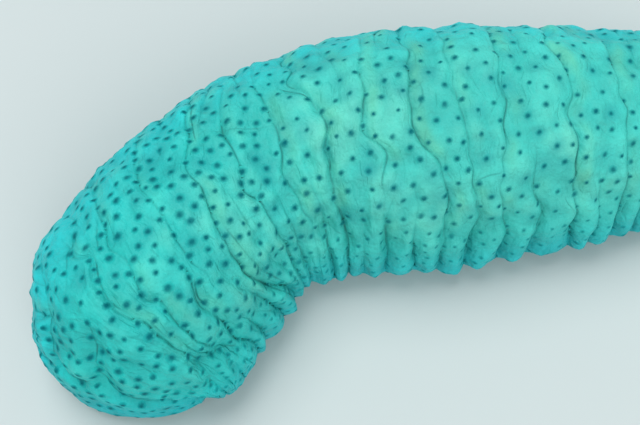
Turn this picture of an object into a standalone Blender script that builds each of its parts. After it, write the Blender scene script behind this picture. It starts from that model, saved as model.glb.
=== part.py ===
"""A large spotted sea cucumber lying on its sole, its front end bent round to one side.

The body wall is one closed surface, shaped from a UV sphere whose two poles are the mouth
and the vent. Its rings follow the deep creases that cross the back. Thin cuts part it into
lengths, small tube feet are joined to the sole, and the crown of feeding tentacles hangs in
the mouth, which opens downwards under the front end.

Metres, +Z up. The origin is on the floor below the middle of the body.
"""

import math

import bmesh
import bpy
import numpy as np
from mathutils import Matrix, Vector

# The line along the sole. Stations are measured along it, from the front towards the vent.
FRONT_HEADING = 61.0  # degrees from +X, at the front end
TRUNK_HEADING = 7.0  # behind the bend
VENT_HEADING = -6.0  # at the vent
BEND_START = 0.046
BEND_END = 0.174
TAIL_BEND_START = 0.300
FIRST_STATION = 0.020  # the front cap starts here
LAST_STATION = 0.375  # the rear cap starts here
ORIGIN_STATION = 0.180

# Half widths of the body at chosen stations, and what follows from them.
WIDTH_STATIONS = (0.020, 0.050, 0.110, 0.190, 0.260, 0.310, 0.345, 0.375)
HALF_WIDTHS = (0.0540, 0.0570, 0.0555, 0.0625, 0.0585, 0.0520, 0.0470, 0.0405)
HEIGHT_TO_WIDTH = 0.70
WIDEST_HEIGHT = 0.016  # of the blunt edge between back and sole
SIDE_POWER = 0.9  # powers of cosine and sine that round the section
BACK_POWER = 0.95
SOLE_POWER = 0.45
SOLE_FALL = 1.15  # above 1, the sole is flat before its middle
SOLE_LIFT = 0.002  # the tube feet hold the sole off the floor

# The front cap: the back curves over and down to a soft lip, whose outline seen from above
# is an ellipse. Inside the lip the skin turns up into the mouth.
FRONT_REACH = 0.042
FRONT_ARC = 0.090  # length of the back's curve, from the first station to the lip
FRONT_BULGE = 0.9  # below 1, the curve is blunter seen from the side
LIP_START = 26  # degrees round the ellipse, at the widest place of the section
LIP_WIDTH = 0.91  # of the ellipse, as a share of the body's width behind it
LIP_HEIGHT = 0.007
SOLE_REACH = 0.004  # of the sole's middle, in front of the first station
FRONT_SKEW = 0.06  # the front reaches further forward on the outside of the bend
# The far side bulges behind the front corner and draws in at it: where, over what length, by how much.
FAR_CORNER = ((0.024, 0.013, 0.0034), (-0.016, 0.019, -0.0056))
MOUTH_CENTRE = 0.021  # in front of the first station
MOUTH_RADIUS = 0.0145
MOUTH_DEPTH = 0.015
LIP_INSET = 0.14  # share of the outline taken up by the lip's roll
LIP_STEP = 0.010  # lengths along the skin: lip, floor, mouth wall, mouth ceiling
RIM_STEP = 0.012
WALL_STEP = 0.014
CEILING_STEP = 0.012

# The rear cap: blunt, with the vent at its end.
REAR_REACH = 0.034
REAR_ARC = 0.056
VENT_HEIGHT = 0.027
VENT_RADIUS = 0.0075
VENT_DEPTH = 0.011
VENT_STEP = 0.012
REAR_POWER = 0.9

# The creases across the back, in millimetres along the body from the front: on the far
# shoulder, on the crown, on the near flank and at the near edge. Then how strong each is
# at these four places.
CREASES = (
    ((-60, -60, -60, -60), (0.0, 0.0, 0.0, 0.0)),
    ((-50, -47, -50, -42), (0.8, 0.5, 1.1, 1.3)),
    ((-36, -34, -38, -31), (0.7, 0.2, 0.3, 0.2)),
    ((-20, -20, -21, -18), (0.7, 0.2, 0.2, 0.2)),
    ((-2, -8, -4, -6), (0.8, 0.3, 0.5, 0.4)),
    ((24, 7, 4, 8), (0.4, 1.1, 0.7, 0.2)),
    ((35, 17, 10, 22), (0.5, 0.2, 0.6, 0.6)),
    ((50, 26, 18, 29), (0.7, 0.9, 0.7, 0.2)),
    ((62, 40, 31, 36), (0.5, 0.3, 1.1, 1.2)),
    ((77, 50, 38, 45), (0.8, 0.7, 0.5, 0.6)),
    ((88, 63, 46, 60), (0.6, 0.2, 0.4, 1.1)),
    ((101, 75, 54, 76), (0.9, 1.0, 1.0, 1.1)),
    ((108, 86, 72, 84), (0.6, 0.2, 0.4, 0.2)),
    ((114, 99, 88, 92), (0.4, 1.0, 0.9, 0.3)),
    ((120, 111, 102, 105), (0.6, 0.1, 0.4, 1.1)),
    ((126, 122, 116, 119), (0.5, 0.8, 0.7, 0.2)),
    ((131, 132, 129, 134), (0.2, 0.1, 0.6, 1.6)),
    ((139, 143, 143, 148), (0.9, 1.1, 1.5, 1.7)),
    ((153, 156, 157, 160), (0.6, 0.2, 0.3, 0.3)),
    ((170, 167, 170, 173), (0.5, 0.8, 0.8, 0.9)),
    ((178, 177, 185, 186), (0.5, 0.1, 0.3, 1.0)),
    ((190, 188, 200, 199), (1.0, 1.0, 0.9, 1.0)),
    ((208, 208, 213, 213), (0.6, 0.5, 0.7, 1.3)),
    ((233, 230, 226, 231), (1.0, 1.0, 1.0, 1.0)),
    ((245, 243, 242, 246), (0.5, 0.1, 0.6, 0.9)),
    ((262, 261, 261, 267), (1.0, 1.1, 1.1, 0.9)),
    ((275, 274, 274, 278), (0.5, 0.2, 0.4, 0.7)),
    ((289, 288, 288, 290), (0.9, 0.8, 0.8, 1.0)),
    ((301, 300, 300, 301), (0.8, 0.4, 0.5, 0.9)),
    ((312, 311, 312, 312), (0.9, 0.9, 0.8, 1.0)),
    ((325, 325, 326, 325), (0.6, 0.3, 0.5, 0.8)),
    ((337, 338, 338, 337), (0.9, 0.9, 0.9, 1.0)),
    ((350, 350, 351, 350), (0.7, 0.3, 0.6, 0.9)),
    ((362, 363, 363, 362), (0.8, 0.8, 0.8, 0.9)),
    ((376, 376, 376, 376), (0.6, 0.5, 0.6, 0.7)),
    ((390, 389, 389, 390), (0.8, 0.7, 0.7, 0.8)),
    ((403, 403, 403, 403), (0.5, 0.5, 0.5, 0.5)),
    ((417, 417, 417, 417), (0.0, 0.0, 0.0, 0.0)),
)
FAR_SHOULDER, CROWN, NEAR_FLANK, NEAR_EDGE = 55, 95, 140, 175  # degrees round the body
BACK_DEPTH = 0.0018
EDGE_DEPTH = 0.0052
EDGE_LEVEL = 0.08  # sine of the angle where the creases are deepest
EDGE_BAND = 0.40
CREASE_END = -0.42  # sine of the angle below which there are none
DEEPEST_SHARE = 0.42  # of the distance between two creases

# The edge between back and sole bulges, below a shallow groove along the flank.
MARGIN_BULGE = 0.0022
MARGIN_GROOVE = 0.0016
GROOVE_ANGLE = 27  # degrees above the widest place
MARGIN_SPREAD = 13
GROOVE_SPREAD = 9

# How fine the surface is.
AROUND = 38
SOLE_SHARE = 0.22  # of the points round a ring
SOLE_EDGE = 25  # degrees below the widest place
FOLD_STEPS = (0.0, 0.16, 0.5, 0.84)  # rings within one fold, as shares of it
SHARPNESS = 3  # a crease's sides fall away by this power towards its line
CEILING_SHARES = (0.55, 0.0)  # rings in the mouth, as shares of each length along its skin
WALL_SHARES = (0.6, 0.25, 0.0)
RIM_SHARES = (0.5, 0.0)
LIP_SHARES = (0.6, 0.25, 0.0)
VENT_SHARES = (-0.7, -0.35, 0.0, 0.3, 0.7)

# Where the body is parted, and the gap that a cut leaves.
CUTS = (0.028, 0.117, 0.209, 0.302)
GAP = 0.0003
LENGTHS = ("head_end", "trunk_front", "trunk_middle", "trunk_rear", "tail_end")

# Tube feet in three bands along the sole.
FOOT_RADIUS = 0.0021
FOOT_SPACING = 0.0125
FOOT_ROOT = 0.003
FOOT_BANDS = (-0.52, 0.0, 0.52)  # shares of the half width
FOOT_STAGGER = 0.004
FOOT_SIDES = 6

# Feeding tentacles.
TENTACLES = 20
CROWN_RADIUS = 0.0118
CROWN_TAPER = 0.001
CROWN_THICKNESS = 0.003
CROWN_SIDES = 32
TENTACLE_RINGS = (0.0052, 0.0098)
STALK_RADIUS = 0.0010
STALK_TIP_RADIUS = 0.0008
STALK_LENGTHS = (0.0087, 0.0062)
STALK_ROOT = 0.0012
STALK_SIDES = 6
SHIELD_RADII = (0.0015, 0.0018)
SHIELD_HEIGHT = 0.0026
SHIELD_RISE = 0.0009  # of its middle above the stalk's tip
SHIELD_SIDES, SHIELD_ROWS = 8, 5

SKIN_COLOUR = (0.36, 0.80, 0.72)
TENTACLE_COLOUR = (0.16, 0.42, 0.36)


def linear(colour):
    """An sRGB colour as the linear RGBA that a shader takes."""
    return tuple((c / 12.92) if c <= 0.04045 else ((c + 0.055) / 1.055) ** 2.4 for c in colour) + (1.0,)


def make_material(name, colour, roughness):
    made = bpy.data.materials.new(name)
    made.use_nodes = True
    shader = made.node_tree.nodes["Principled BSDF"]
    shader.inputs["Base Color"].default_value = linear(colour)
    shader.inputs["Roughness"].default_value = roughness
    shader.inputs["Metallic"].default_value = 0.0
    return made


def ease(x):
    x = np.clip(x, 0.0, 1.0)
    return x * x * (3.0 - 2.0 * x)


def smooth_through(x, places, values):
    """A smooth curve through the values, level beyond its ends."""
    places, values = np.array(places), np.array(values)
    slopes = np.gradient(values, places)
    x = np.clip(x, places[0], places[-1])
    i = np.clip(np.searchsorted(places, x) - 1, 0, len(places) - 2)
    step = places[i + 1] - places[i]
    t = (x - places[i]) / step
    return (
        values[i] * (1 + 2 * t) * (1 - t) ** 2
        + slopes[i] * step * t * (1 - t) ** 2
        + values[i + 1] * t * t * (3 - 2 * t)
        + slopes[i + 1] * step * t * t * (t - 1)
    )


def heading_at(station):
    """The direction towards the vent, in radians from +X."""
    bend = ease((station - BEND_START) / (BEND_END - BEND_START))
    tail = ease((station - TAIL_BEND_START) / (LAST_STATION - TAIL_BEND_START))
    turned = (TRUNK_HEADING - FRONT_HEADING) * bend + (VENT_HEADING - TRUNK_HEADING) * tail
    return np.radians(FRONT_HEADING + turned)


def make_spine():
    """Points along the sole every half millimetre, with the origin's station at zero."""
    stations = np.arange(0.0, LAST_STATION + 0.001, 0.0005)
    headings = heading_at(stations)
    steps = np.diff(stations)
    middles = (headings[1:] + headings[:-1]) / 2
    x = np.concatenate([[0.0], np.cumsum(np.cos(middles) * steps)])
    y = np.concatenate([[0.0], np.cumsum(np.sin(middles) * steps)])
    x -= np.interp(ORIGIN_STATION, stations, x)
    y -= np.interp(ORIGIN_STATION, stations, y)
    return stations, x, y


SPINE = make_spine()
MOUTH_END = FIRST_STATION - FRONT_ARC - LIP_STEP - RIM_STEP - WALL_STEP - CEILING_STEP
VENT_END = LAST_STATION + REAR_ARC + VENT_STEP


def on_spine(station):
    stations, x, y = SPINE
    return np.interp(station, stations, x), np.interp(station, stations, y), heading_at(station)


def half_width(station):
    return smooth_through(station, WIDTH_STATIONS, HALF_WIDTHS)


def section(station, angle):
    """Offset to the side and height of a cross-section, before any crease."""
    wide = half_width(station)
    high = 2 * wide * HEIGHT_TO_WIDTH - WIDEST_HEIGHT
    across, up = np.cos(angle), np.sin(angle)
    side = wide * np.sign(across) * np.abs(across) ** SIDE_POWER
    above = np.degrees(np.arctan2(up, np.abs(across)))
    bulge = MARGIN_BULGE * np.exp(-((above / MARGIN_SPREAD) ** 2))
    groove = MARGIN_GROOVE * np.exp(-(((above - GROOVE_ANGLE) / GROOVE_SPREAD) ** 2))
    side = side + np.sign(across) * (bulge - groove)
    back = WIDEST_HEIGHT + high * np.clip(up, 0, 1) ** BACK_POWER
    belly = WIDEST_HEIGHT * np.clip(1 - SOLE_FALL * np.clip(-up, 0, 1) ** SOLE_POWER, 0, 1)
    return side, np.where(up >= 0, back, belly)


def lip_outline(angle):
    """Offset to the side and forwards of the lip, seen from above."""
    across, up = np.cos(angle), np.sin(angle)
    wide = half_width(FIRST_STATION) * LIP_WIDTH
    above = np.arctan2(np.abs(up), np.abs(across)) / (math.pi / 2)
    start = math.radians(LIP_START)
    turn = start + (math.pi / 2 - start) * above
    corner = FRONT_REACH * math.sin(start)
    below = SOLE_REACH + (corner - SOLE_REACH) * across ** 2
    forward = np.where(up >= 0, FRONT_REACH * np.sin(turn), below)
    spread = np.where(up >= 0, np.cos(turn), math.cos(start) * np.abs(across) ** SIDE_POWER)
    side = wide * spread * np.sign(across)
    return side, forward + FRONT_SKEW * side


def body_surface(along, angle):
    """World points of the smooth body. along runs from the mouth, over the front, to the vent."""
    station = np.clip(along, FIRST_STATION, LAST_STATION)
    side, up = section(station, angle)
    turned = np.clip((FIRST_STATION - along) / FRONT_ARC, 0, 1) * math.pi / 2
    lip_side, lip_forward = lip_outline(angle)
    rises = np.clip(up / WIDEST_HEIGHT, 0, 1)
    forward = lip_forward * np.sin(turned) ** FRONT_BULGE
    up = up * np.cos(turned) ** FRONT_BULGE + LIP_HEIGHT * rises * np.sin(turned)
    side = side + (lip_side - side) * np.sin(turned) ** 2
    for middle, reach, grow in FAR_CORNER:
        side = side + grow * np.exp(-(((along - middle) / reach) ** 2)) * np.clip(np.cos(angle), 0, 1)

    # Past the lip the rings close in on the mouth, and then rise to its ceiling.
    past = np.clip(FIRST_STATION - FRONT_ARC - along, 0, None)
    lip = np.clip(past / LIP_STEP, 0, 1) * math.pi / 2
    shrink = 1 - LIP_INSET * (1 - np.cos(lip))
    forward = np.where(past > 0, MOUTH_CENTRE + (forward - MOUTH_CENTRE) * shrink, forward)
    side = side * np.where(past > 0, shrink, 1)
    up = np.where(past > 0, up * (1 - np.sin(lip)), up)
    to_rim = ease((past - LIP_STEP) / RIM_STEP)
    rise = ease((past - LIP_STEP - RIM_STEP) / WALL_STEP)
    close = np.clip((past - LIP_STEP - RIM_STEP - WALL_STEP) / CEILING_STEP, 0, 1)
    radius = MOUTH_RADIUS * (1 - close)
    forward = forward * (1 - to_rim) + (MOUTH_CENTRE + radius * np.sin(angle)) * to_rim
    side = side * (1 - to_rim) + radius * np.cos(angle) * to_rim
    up = up + MOUTH_DEPTH * rise

    # The rear cap closes on the vent, whose opening then runs back into the body.
    behind = np.clip(along - LAST_STATION, 0, None)
    closing = np.clip(behind / REAR_ARC, 0, 1) * math.pi / 2
    inner = np.clip((behind - REAR_ARC) / VENT_STEP, 0, 1)
    scale = np.cos(closing) ** REAR_POWER
    rim_side, rim_up = VENT_RADIUS * np.cos(angle), VENT_RADIUS * np.sin(angle)
    side = np.where(behind > 0, side * scale + rim_side * (1 - scale), side)
    up = np.where(behind > 0, VENT_HEIGHT + (up - VENT_HEIGHT) * scale + rim_up * (1 - scale), up)
    side = side * (1 - inner ** 2)
    up = np.where(inner > 0, VENT_HEIGHT + (up - VENT_HEIGHT) * (1 - inner ** 2), up)
    forward = np.where(behind > 0, -REAR_REACH * np.sin(closing) + VENT_DEPTH * inner, forward)

    x, y, heading = on_spine(station)
    return np.stack(
        [
            x - np.sin(heading) * side - np.cos(heading) * forward,
            y + np.cos(heading) * side - np.sin(heading) * forward,
            up + SOLE_LIFT,
        ],
        axis=-1,
    )


def round_the_body(angles, values):
    """Spreads a crease's four values over all angles. Below the edges they go over into each other."""
    far, crown, near, edge = values
    sole = (180 + SOLE_EDGE, 270, 360 - SOLE_EDGE)
    turns = (-FAR_SHOULDER, 0, FAR_SHOULDER, CROWN, NEAR_FLANK, NEAR_EDGE) + sole + (360,)
    levels = ((far + edge) / 2, far, far, crown, near, edge, edge, (far + edge) / 2, far, far)
    return smooth_through(np.degrees(angles), turns, levels)


def crease_lines(angles):
    """Where each crease lies at each angle, in metres along the body."""
    return np.array([round_the_body(angles, places) for places, _ in CREASES]) / 1000


def crease_depths(angles, lines):
    """How deep each crease is at each angle: shallow on the crown, deep at the edge, none below."""
    up = np.sin(angles)
    edge = np.exp(-(((up - EDGE_LEVEL) / EDGE_BAND) ** 2))
    shape = (BACK_DEPTH + (EDGE_DEPTH - BACK_DEPTH) * edge) * ease((up - CREASE_END) / EDGE_BAND)
    strengths = np.array([round_the_body(angles, strong) for _, strong in CREASES])
    depths = shape * np.clip(strengths, 0, None)
    here = body_surface(lines, angles[None, :])
    gaps = np.linalg.norm(np.diff(here, axis=0), axis=-1)
    narrow = np.minimum(np.vstack([gaps, gaps[-1:]]), np.vstack([gaps[:1], gaps]))
    return np.minimum(depths, DEEPEST_SHARE * narrow)


def ring_angles():
    """Angles round a ring, fewer under the flat sole than over the back."""
    share = np.arange(AROUND) / AROUND
    back = 1 - SOLE_SHARE
    over = -SOLE_EDGE + (180 + 2 * SOLE_EDGE) * share / back
    under = 180 + SOLE_EDGE + (180 - 2 * SOLE_EDGE) * (share - back) / SOLE_SHARE
    return np.radians(np.where(share < back, over, under))


def body_rings():
    """All rings of points from the mouth to the vent, creased."""
    angles = ring_angles()
    lines = crease_lines(angles)
    depths = crease_depths(angles, lines)
    mouth = []
    place = MOUTH_END
    for length, shares in (
        (CEILING_STEP, CEILING_SHARES), (WALL_STEP, WALL_SHARES), (RIM_STEP, RIM_SHARES), (LIP_STEP, LIP_SHARES)
    ):
        place += length
        mouth += [place - length * share for share in shares]
    vent = [VENT_END + VENT_STEP * (share - 1) for share in VENT_SHARES]
    rows = [(np.full(AROUND, place), np.zeros(AROUND)) for place in mouth]
    for fold, step in ((fold, step) for fold in range(len(CREASES) - 1) for step in FOLD_STEPS):
        row = lines[fold] * (1 - step) + lines[fold + 1] * step
        deep = depths[fold] * (1 - step) + depths[fold + 1] * step
        rows.append((row, deep * abs(2 * step - 1) ** SHARPNESS))
    rows.append((lines[-1], depths[-1]))
    rows += [(np.full(AROUND, place), np.zeros(AROUND)) for place in vent]
    along = np.array([row for row, _ in rows])
    depth = np.array([deep for _, deep in rows])
    points = body_surface(along, angles[None, :])
    # Each point sinks along the smooth surface's own normal.
    ahead = body_surface(along + 0.0005, angles[None, :]) - points
    round_it = body_surface(along, angles[None, :] + 0.01) - points
    normal = np.cross(round_it, ahead)
    normal /= np.maximum(np.linalg.norm(normal, axis=-1, keepdims=True), 1e-12)
    points = points - normal * depth[..., None]
    points[..., 2] = np.maximum(points[..., 2], SOLE_LIFT)
    return points


def make_body():
    """The whole body wall as one closed mesh."""
    rings = body_rings()
    count = len(rings)
    mesh = bmesh.new()
    bmesh.ops.create_uvsphere(mesh, u_segments=AROUND, v_segments=count + 1, radius=1.0)
    vent = body_surface(np.array(VENT_END), np.array(0.0))
    mouth = body_surface(np.array(MOUTH_END), np.array(0.0))
    for vertex in mesh.verts:
        ring = round((math.pi - math.acos(max(-1.0, min(1.0, vertex.co.z)))) / math.pi * (count + 1))
        column = round(math.atan2(vertex.co.y, vertex.co.x) / (2 * math.pi) * AROUND) % AROUND
        if ring == 0:
            vertex.co = mouth
        elif ring == count + 1:
            vertex.co = vent
        else:
            vertex.co = rings[ring - 1][column]
    bmesh.ops.recalc_face_normals(mesh, faces=mesh.faces)
    return mesh


def cut_plane(station):
    x, y, heading = on_spine(station)
    return Vector((x, y, 0.0)), Vector((math.cos(heading), math.sin(heading), 0.0))


def keep_between(mesh, start, end):
    """Cuts the mesh square to the spine at both stations and closes the cuts."""
    for station, sign in ((start, -1), (end, 1)):
        if station is None:
            continue
        point, direction = cut_plane(station - sign * GAP / 2)
        everything = mesh.verts[:] + mesh.edges[:] + mesh.faces[:]
        cut = bmesh.ops.bisect_plane(
            mesh, geom=everything, dist=1e-7, plane_co=point, plane_no=direction * sign, clear_outer=True
        )
        edges = [item for item in cut["geom_cut"] if isinstance(item, bmesh.types.BMEdge)]
        bmesh.ops.holes_fill(mesh, edges=edges)
    bmesh.ops.recalc_face_normals(mesh, faces=mesh.faces)


def link(name, mesh, material, collection):
    data = bpy.data.meshes.new(name)
    mesh.to_mesh(data)
    mesh.free()
    made = bpy.data.objects.new(name, data)
    data.materials.append(material)
    collection.objects.link(made)
    return made


def join_all(target, pieces):
    """Joins the pieces to the target with one Boolean, applied, and removes them."""
    modifier = target.modifiers.new("join", "BOOLEAN")
    modifier.operation = "UNION"
    modifier.operand_type = "COLLECTION"
    modifier.collection = pieces
    modifier.solver = "MANIFOLD"
    bpy.context.view_layer.update()
    evaluated = target.evaluated_get(bpy.context.evaluated_depsgraph_get())
    joined = bpy.data.meshes.new_from_object(evaluated)
    target.modifiers.clear()
    target.data = joined
    for piece in list(pieces.objects):
        bpy.data.objects.remove(piece)
    bpy.data.collections.remove(pieces)
    keep_largest(target)


def keep_largest(target):
    """Leaves only the surface with the most faces, which drops any loose scrap."""
    mesh = bmesh.new()
    mesh.from_mesh(target.data)
    left, islands = set(mesh.faces), []
    while left:
        island, edge_of_search = set(), [left.pop()]
        while edge_of_search:
            face = edge_of_search.pop()
            island.add(face)
            for neighbour in (f for edge in face.edges for f in edge.link_faces):
                if neighbour in left:
                    left.remove(neighbour)
                    edge_of_search.append(neighbour)
        islands.append(island)
    islands.sort(key=len)
    scraps = [face for island in islands[:-1] for face in island]
    bmesh.ops.delete(mesh, geom=scraps, context="FACES")
    mesh.to_mesh(target.data)
    mesh.free()


def cylinder(x, y, bottom, height, low_radius, high_radius, sides):
    mesh = bmesh.new()
    bmesh.ops.create_cone(
        mesh, cap_ends=True, segments=sides, radius1=low_radius, radius2=high_radius,
        depth=height, matrix=Matrix.Translation((x, y, bottom + height / 2)),
    )
    return mesh


def foot_places():
    """(station, x, y) of every tube foot, staggered in each band. One stands at the origin."""
    places = []
    first = -math.ceil((ORIGIN_STATION - FIRST_STATION) / FOOT_SPACING)
    last = int((LAST_STATION - ORIGIN_STATION) / FOOT_SPACING)
    for row in range(first, last):
        for band in FOOT_BANDS:
            shift = FOOT_STAGGER * (row % 2) * (1 if row % 4 == 1 else -1)
            station = ORIGIN_STATION + row * FOOT_SPACING + (FOOT_SPACING / 2 if band else 0)
            if min(abs(station - cut) for cut in CUTS) < FOOT_RADIUS + 2 * GAP:
                station += 2 * FOOT_RADIUS
            x, y, heading = on_spine(station)
            side = band * half_width(station) + shift
            places.append((station, x - math.sin(heading) * side, y + math.cos(heading) * side))
    return places


def add_feet(target, start, end, material):
    """Joins to a length of the body the tube feet that stand under it, with their roots sunk in."""
    pieces = bpy.data.collections.new("feet")
    bpy.context.scene.collection.children.link(pieces)
    low = 0.0 if start is None else start
    high = LAST_STATION if end is None else end
    height = SOLE_LIFT + FOOT_ROOT
    for station, x, y in foot_places():
        if not low < station < high:
            continue
        foot = cylinder(x, y, 0.0, height, FOOT_RADIUS, FOOT_RADIUS, FOOT_SIDES)
        link("foot", foot, material, pieces)
    join_all(target, pieces)


def add_crown(collection, material):
    """The disc round the mouth, with two circles of short shield-tipped tentacles."""
    x, y, heading = on_spine(FIRST_STATION)
    centre_x = x - math.cos(heading) * MOUTH_CENTRE
    centre_y = y - math.sin(heading) * MOUTH_CENTRE
    disc_bottom = SOLE_LIFT + MOUTH_DEPTH - GAP - CROWN_THICKNESS
    disc = cylinder(
        centre_x, centre_y, disc_bottom, CROWN_THICKNESS, CROWN_RADIUS - CROWN_TAPER, CROWN_RADIUS, CROWN_SIDES
    )
    crown = link("tentacle_crown", disc, material, collection)
    pieces = bpy.data.collections.new("tentacles")
    bpy.context.scene.collection.children.link(pieces)
    for number in range(TENTACLES):
        circle = number % 2
        turn = 2 * math.pi * number / TENTACLES
        stalk_x = centre_x + math.cos(turn) * TENTACLE_RINGS[circle]
        stalk_y = centre_y + math.sin(turn) * TENTACLE_RINGS[circle]
        tip = disc_bottom - STALK_LENGTHS[circle]
        height = STALK_LENGTHS[circle] + STALK_ROOT
        stalk = cylinder(stalk_x, stalk_y, tip, height, STALK_TIP_RADIUS, STALK_RADIUS, STALK_SIDES)
        link("stalk", stalk, material, pieces)
        shield = bmesh.new()
        flattened = Matrix.Diagonal((SHIELD_RADII[circle],) * 2 + (SHIELD_HEIGHT / 2, 1.0))
        place = Matrix.Translation((stalk_x, stalk_y, tip + SHIELD_RISE))
        bmesh.ops.create_uvsphere(
            shield, u_segments=SHIELD_SIDES, v_segments=SHIELD_ROWS, radius=1.0, matrix=place @ flattened
        )
        link("shield", shield, material, pieces)
    join_all(crown, pieces)


def build():
    for old in list(bpy.data.objects):
        bpy.data.objects.remove(old)
    scene_root = bpy.context.scene.collection
    animal = bpy.data.collections.new("sea_cucumber")
    scene_root.children.link(animal)
    skin = make_material("body_wall", SKIN_COLOUR, 0.55)
    feelers = make_material("tentacles", TENTACLE_COLOUR, 0.5)
    whole = make_body()
    limits = (None,) + CUTS + (None,)
    for name, start, end in zip(LENGTHS, limits[:-1], limits[1:]):
        mesh = whole.copy()
        keep_between(mesh, start, end)
        piece = link(name, mesh, skin, animal)
        add_feet(piece, start, end, skin)
        piece.data.shade_smooth()
    whole.free()
    add_crown(animal, feelers)


build()
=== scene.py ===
"""The looks of a large spotted sea cucumber, lying on its sole on a plain pale floor.

Metres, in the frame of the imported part: +Z up, the origin on the floor below the body's middle.
Along the body, places are measured from the front; round it, angles run from the far edge (0)
over the crown (90) to the near edge (180) and back under the sole.
"""

import math
import random

import bpy
import numpy as np
from mathutils import Matrix, Vector, noise
from mathutils.bvhtree import BVHTree


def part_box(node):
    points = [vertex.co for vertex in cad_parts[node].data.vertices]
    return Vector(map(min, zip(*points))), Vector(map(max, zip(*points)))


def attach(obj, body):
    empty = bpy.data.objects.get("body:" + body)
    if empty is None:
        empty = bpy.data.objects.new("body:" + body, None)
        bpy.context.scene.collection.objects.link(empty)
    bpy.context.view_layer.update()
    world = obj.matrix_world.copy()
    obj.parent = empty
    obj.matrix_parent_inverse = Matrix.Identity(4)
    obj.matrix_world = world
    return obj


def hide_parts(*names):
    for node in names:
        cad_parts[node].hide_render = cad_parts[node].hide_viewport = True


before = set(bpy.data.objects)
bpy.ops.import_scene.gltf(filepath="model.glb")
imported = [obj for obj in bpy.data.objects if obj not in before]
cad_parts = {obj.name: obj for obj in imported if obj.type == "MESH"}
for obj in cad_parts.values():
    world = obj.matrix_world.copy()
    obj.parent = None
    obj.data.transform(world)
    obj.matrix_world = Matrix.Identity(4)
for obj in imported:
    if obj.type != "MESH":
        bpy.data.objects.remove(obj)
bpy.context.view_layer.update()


# The body wall
# One tough, leathery skin without a seam, full of fine chalky grains, that closes round the
# mouth in front and the vent behind. Pleats cross its back, and its edges bulge over the floor.

FRONT_HEADING = 61.0  # degrees from +X
TRUNK_HEADING = 7.0
VENT_HEADING = -6.0
BEND_START = 0.046
BEND_END = 0.174
TAIL_BEND_START = 0.300
FIRST_STATION = 0.020
LAST_STATION = 0.375
ORIGIN_STATION = 0.180
WIDTH_STATIONS = (0.020, 0.050, 0.110, 0.190, 0.260, 0.310, 0.345, 0.375)
HALF_WIDTHS = (0.0540, 0.0570, 0.0555, 0.0625, 0.0585, 0.0520, 0.0470, 0.0405)
HEIGHT_TO_WIDTH = 0.70
WIDEST_HEIGHT = 0.016
SIDE_POWER = 0.9
BACK_POWER = 0.95
SOLE_POWER = 0.45
SOLE_FALL = 1.15
SOLE_LIFT = 0.002  # the tube feet hold the sole off the floor
MARGIN_BULGE = 0.0022
MARGIN_GROOVE = 0.0016
GROOVE_ANGLE = 27
MARGIN_SPREAD = 13
GROOVE_SPREAD = 9

FRONT_REACH = 0.042
FRONT_ARC = 0.090
FRONT_BULGE = 0.9
LIP_START = 26
LIP_WIDTH = 0.91
LIP_HEIGHT = 0.007
SOLE_REACH = 0.004
FRONT_SKEW = 0.06
FAR_CORNER = ((0.024, 0.013, 0.0034), (-0.016, 0.019, -0.0056))  # where, how long, how far out
MOUTH_CENTRE = 0.021
MOUTH_RADIUS = 0.0145
MOUTH_DEPTH = 0.015
LIP_INSET = 0.14
LIP_STEP = 0.010
RIM_STEP = 0.012
WALL_STEP = 0.014
CEILING_STEP = 0.012

REAR_REACH = 0.034
REAR_ARC = 0.056
VENT_HEIGHT = 0.027
VENT_RADIUS = 0.0075
VENT_DEPTH = 0.011
VENT_STEP = 0.012
REAR_POWER = 0.9
MOUTH_END = FIRST_STATION - FRONT_ARC - LIP_STEP - RIM_STEP - WALL_STEP - CEILING_STEP
VENT_END = LAST_STATION + REAR_ARC + VENT_STEP
SPINE_STEP = 0.0005


def ease(x):
    x = np.clip(x, 0.0, 1.0)
    return x * x * (3.0 - 2.0 * x)


def smooth_through(x, places, values):
    """A smooth curve through the values, level beyond its ends."""
    places, values = np.array(places), np.array(values)
    slopes = np.gradient(values, places)
    x = np.clip(x, places[0], places[-1])
    i = np.clip(np.searchsorted(places, x) - 1, 0, len(places) - 2)
    step = places[i + 1] - places[i]
    t = (x - places[i]) / step
    return (
        values[i] * (1 + 2 * t) * (1 - t) ** 2
        + slopes[i] * step * t * (1 - t) ** 2
        + values[i + 1] * t * t * (3 - 2 * t)
        + slopes[i + 1] * step * t * t * (t - 1)
    )


def heading_at(station):
    """The direction towards the vent, in radians from +X."""
    bend = ease((station - BEND_START) / (BEND_END - BEND_START))
    tail = ease((station - TAIL_BEND_START) / (LAST_STATION - TAIL_BEND_START))
    turned = (TRUNK_HEADING - FRONT_HEADING) * bend + (VENT_HEADING - TRUNK_HEADING) * tail
    return np.radians(FRONT_HEADING + turned)


def make_spine():
    """Close points along the sole, with the origin's station at zero."""
    stations = np.arange(0.0, LAST_STATION + 2 * SPINE_STEP, SPINE_STEP)
    headings = heading_at(stations)
    steps = np.diff(stations)
    middles = (headings[1:] + headings[:-1]) / 2
    x = np.concatenate([[0.0], np.cumsum(np.cos(middles) * steps)])
    y = np.concatenate([[0.0], np.cumsum(np.sin(middles) * steps)])
    x -= np.interp(ORIGIN_STATION, stations, x)
    y -= np.interp(ORIGIN_STATION, stations, y)
    return stations, x, y


SPINE = make_spine()


def on_spine(station):
    stations, x, y = SPINE
    return np.interp(station, stations, x), np.interp(station, stations, y), heading_at(station)


def half_width(station):
    return smooth_through(station, WIDTH_STATIONS, HALF_WIDTHS)


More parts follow.
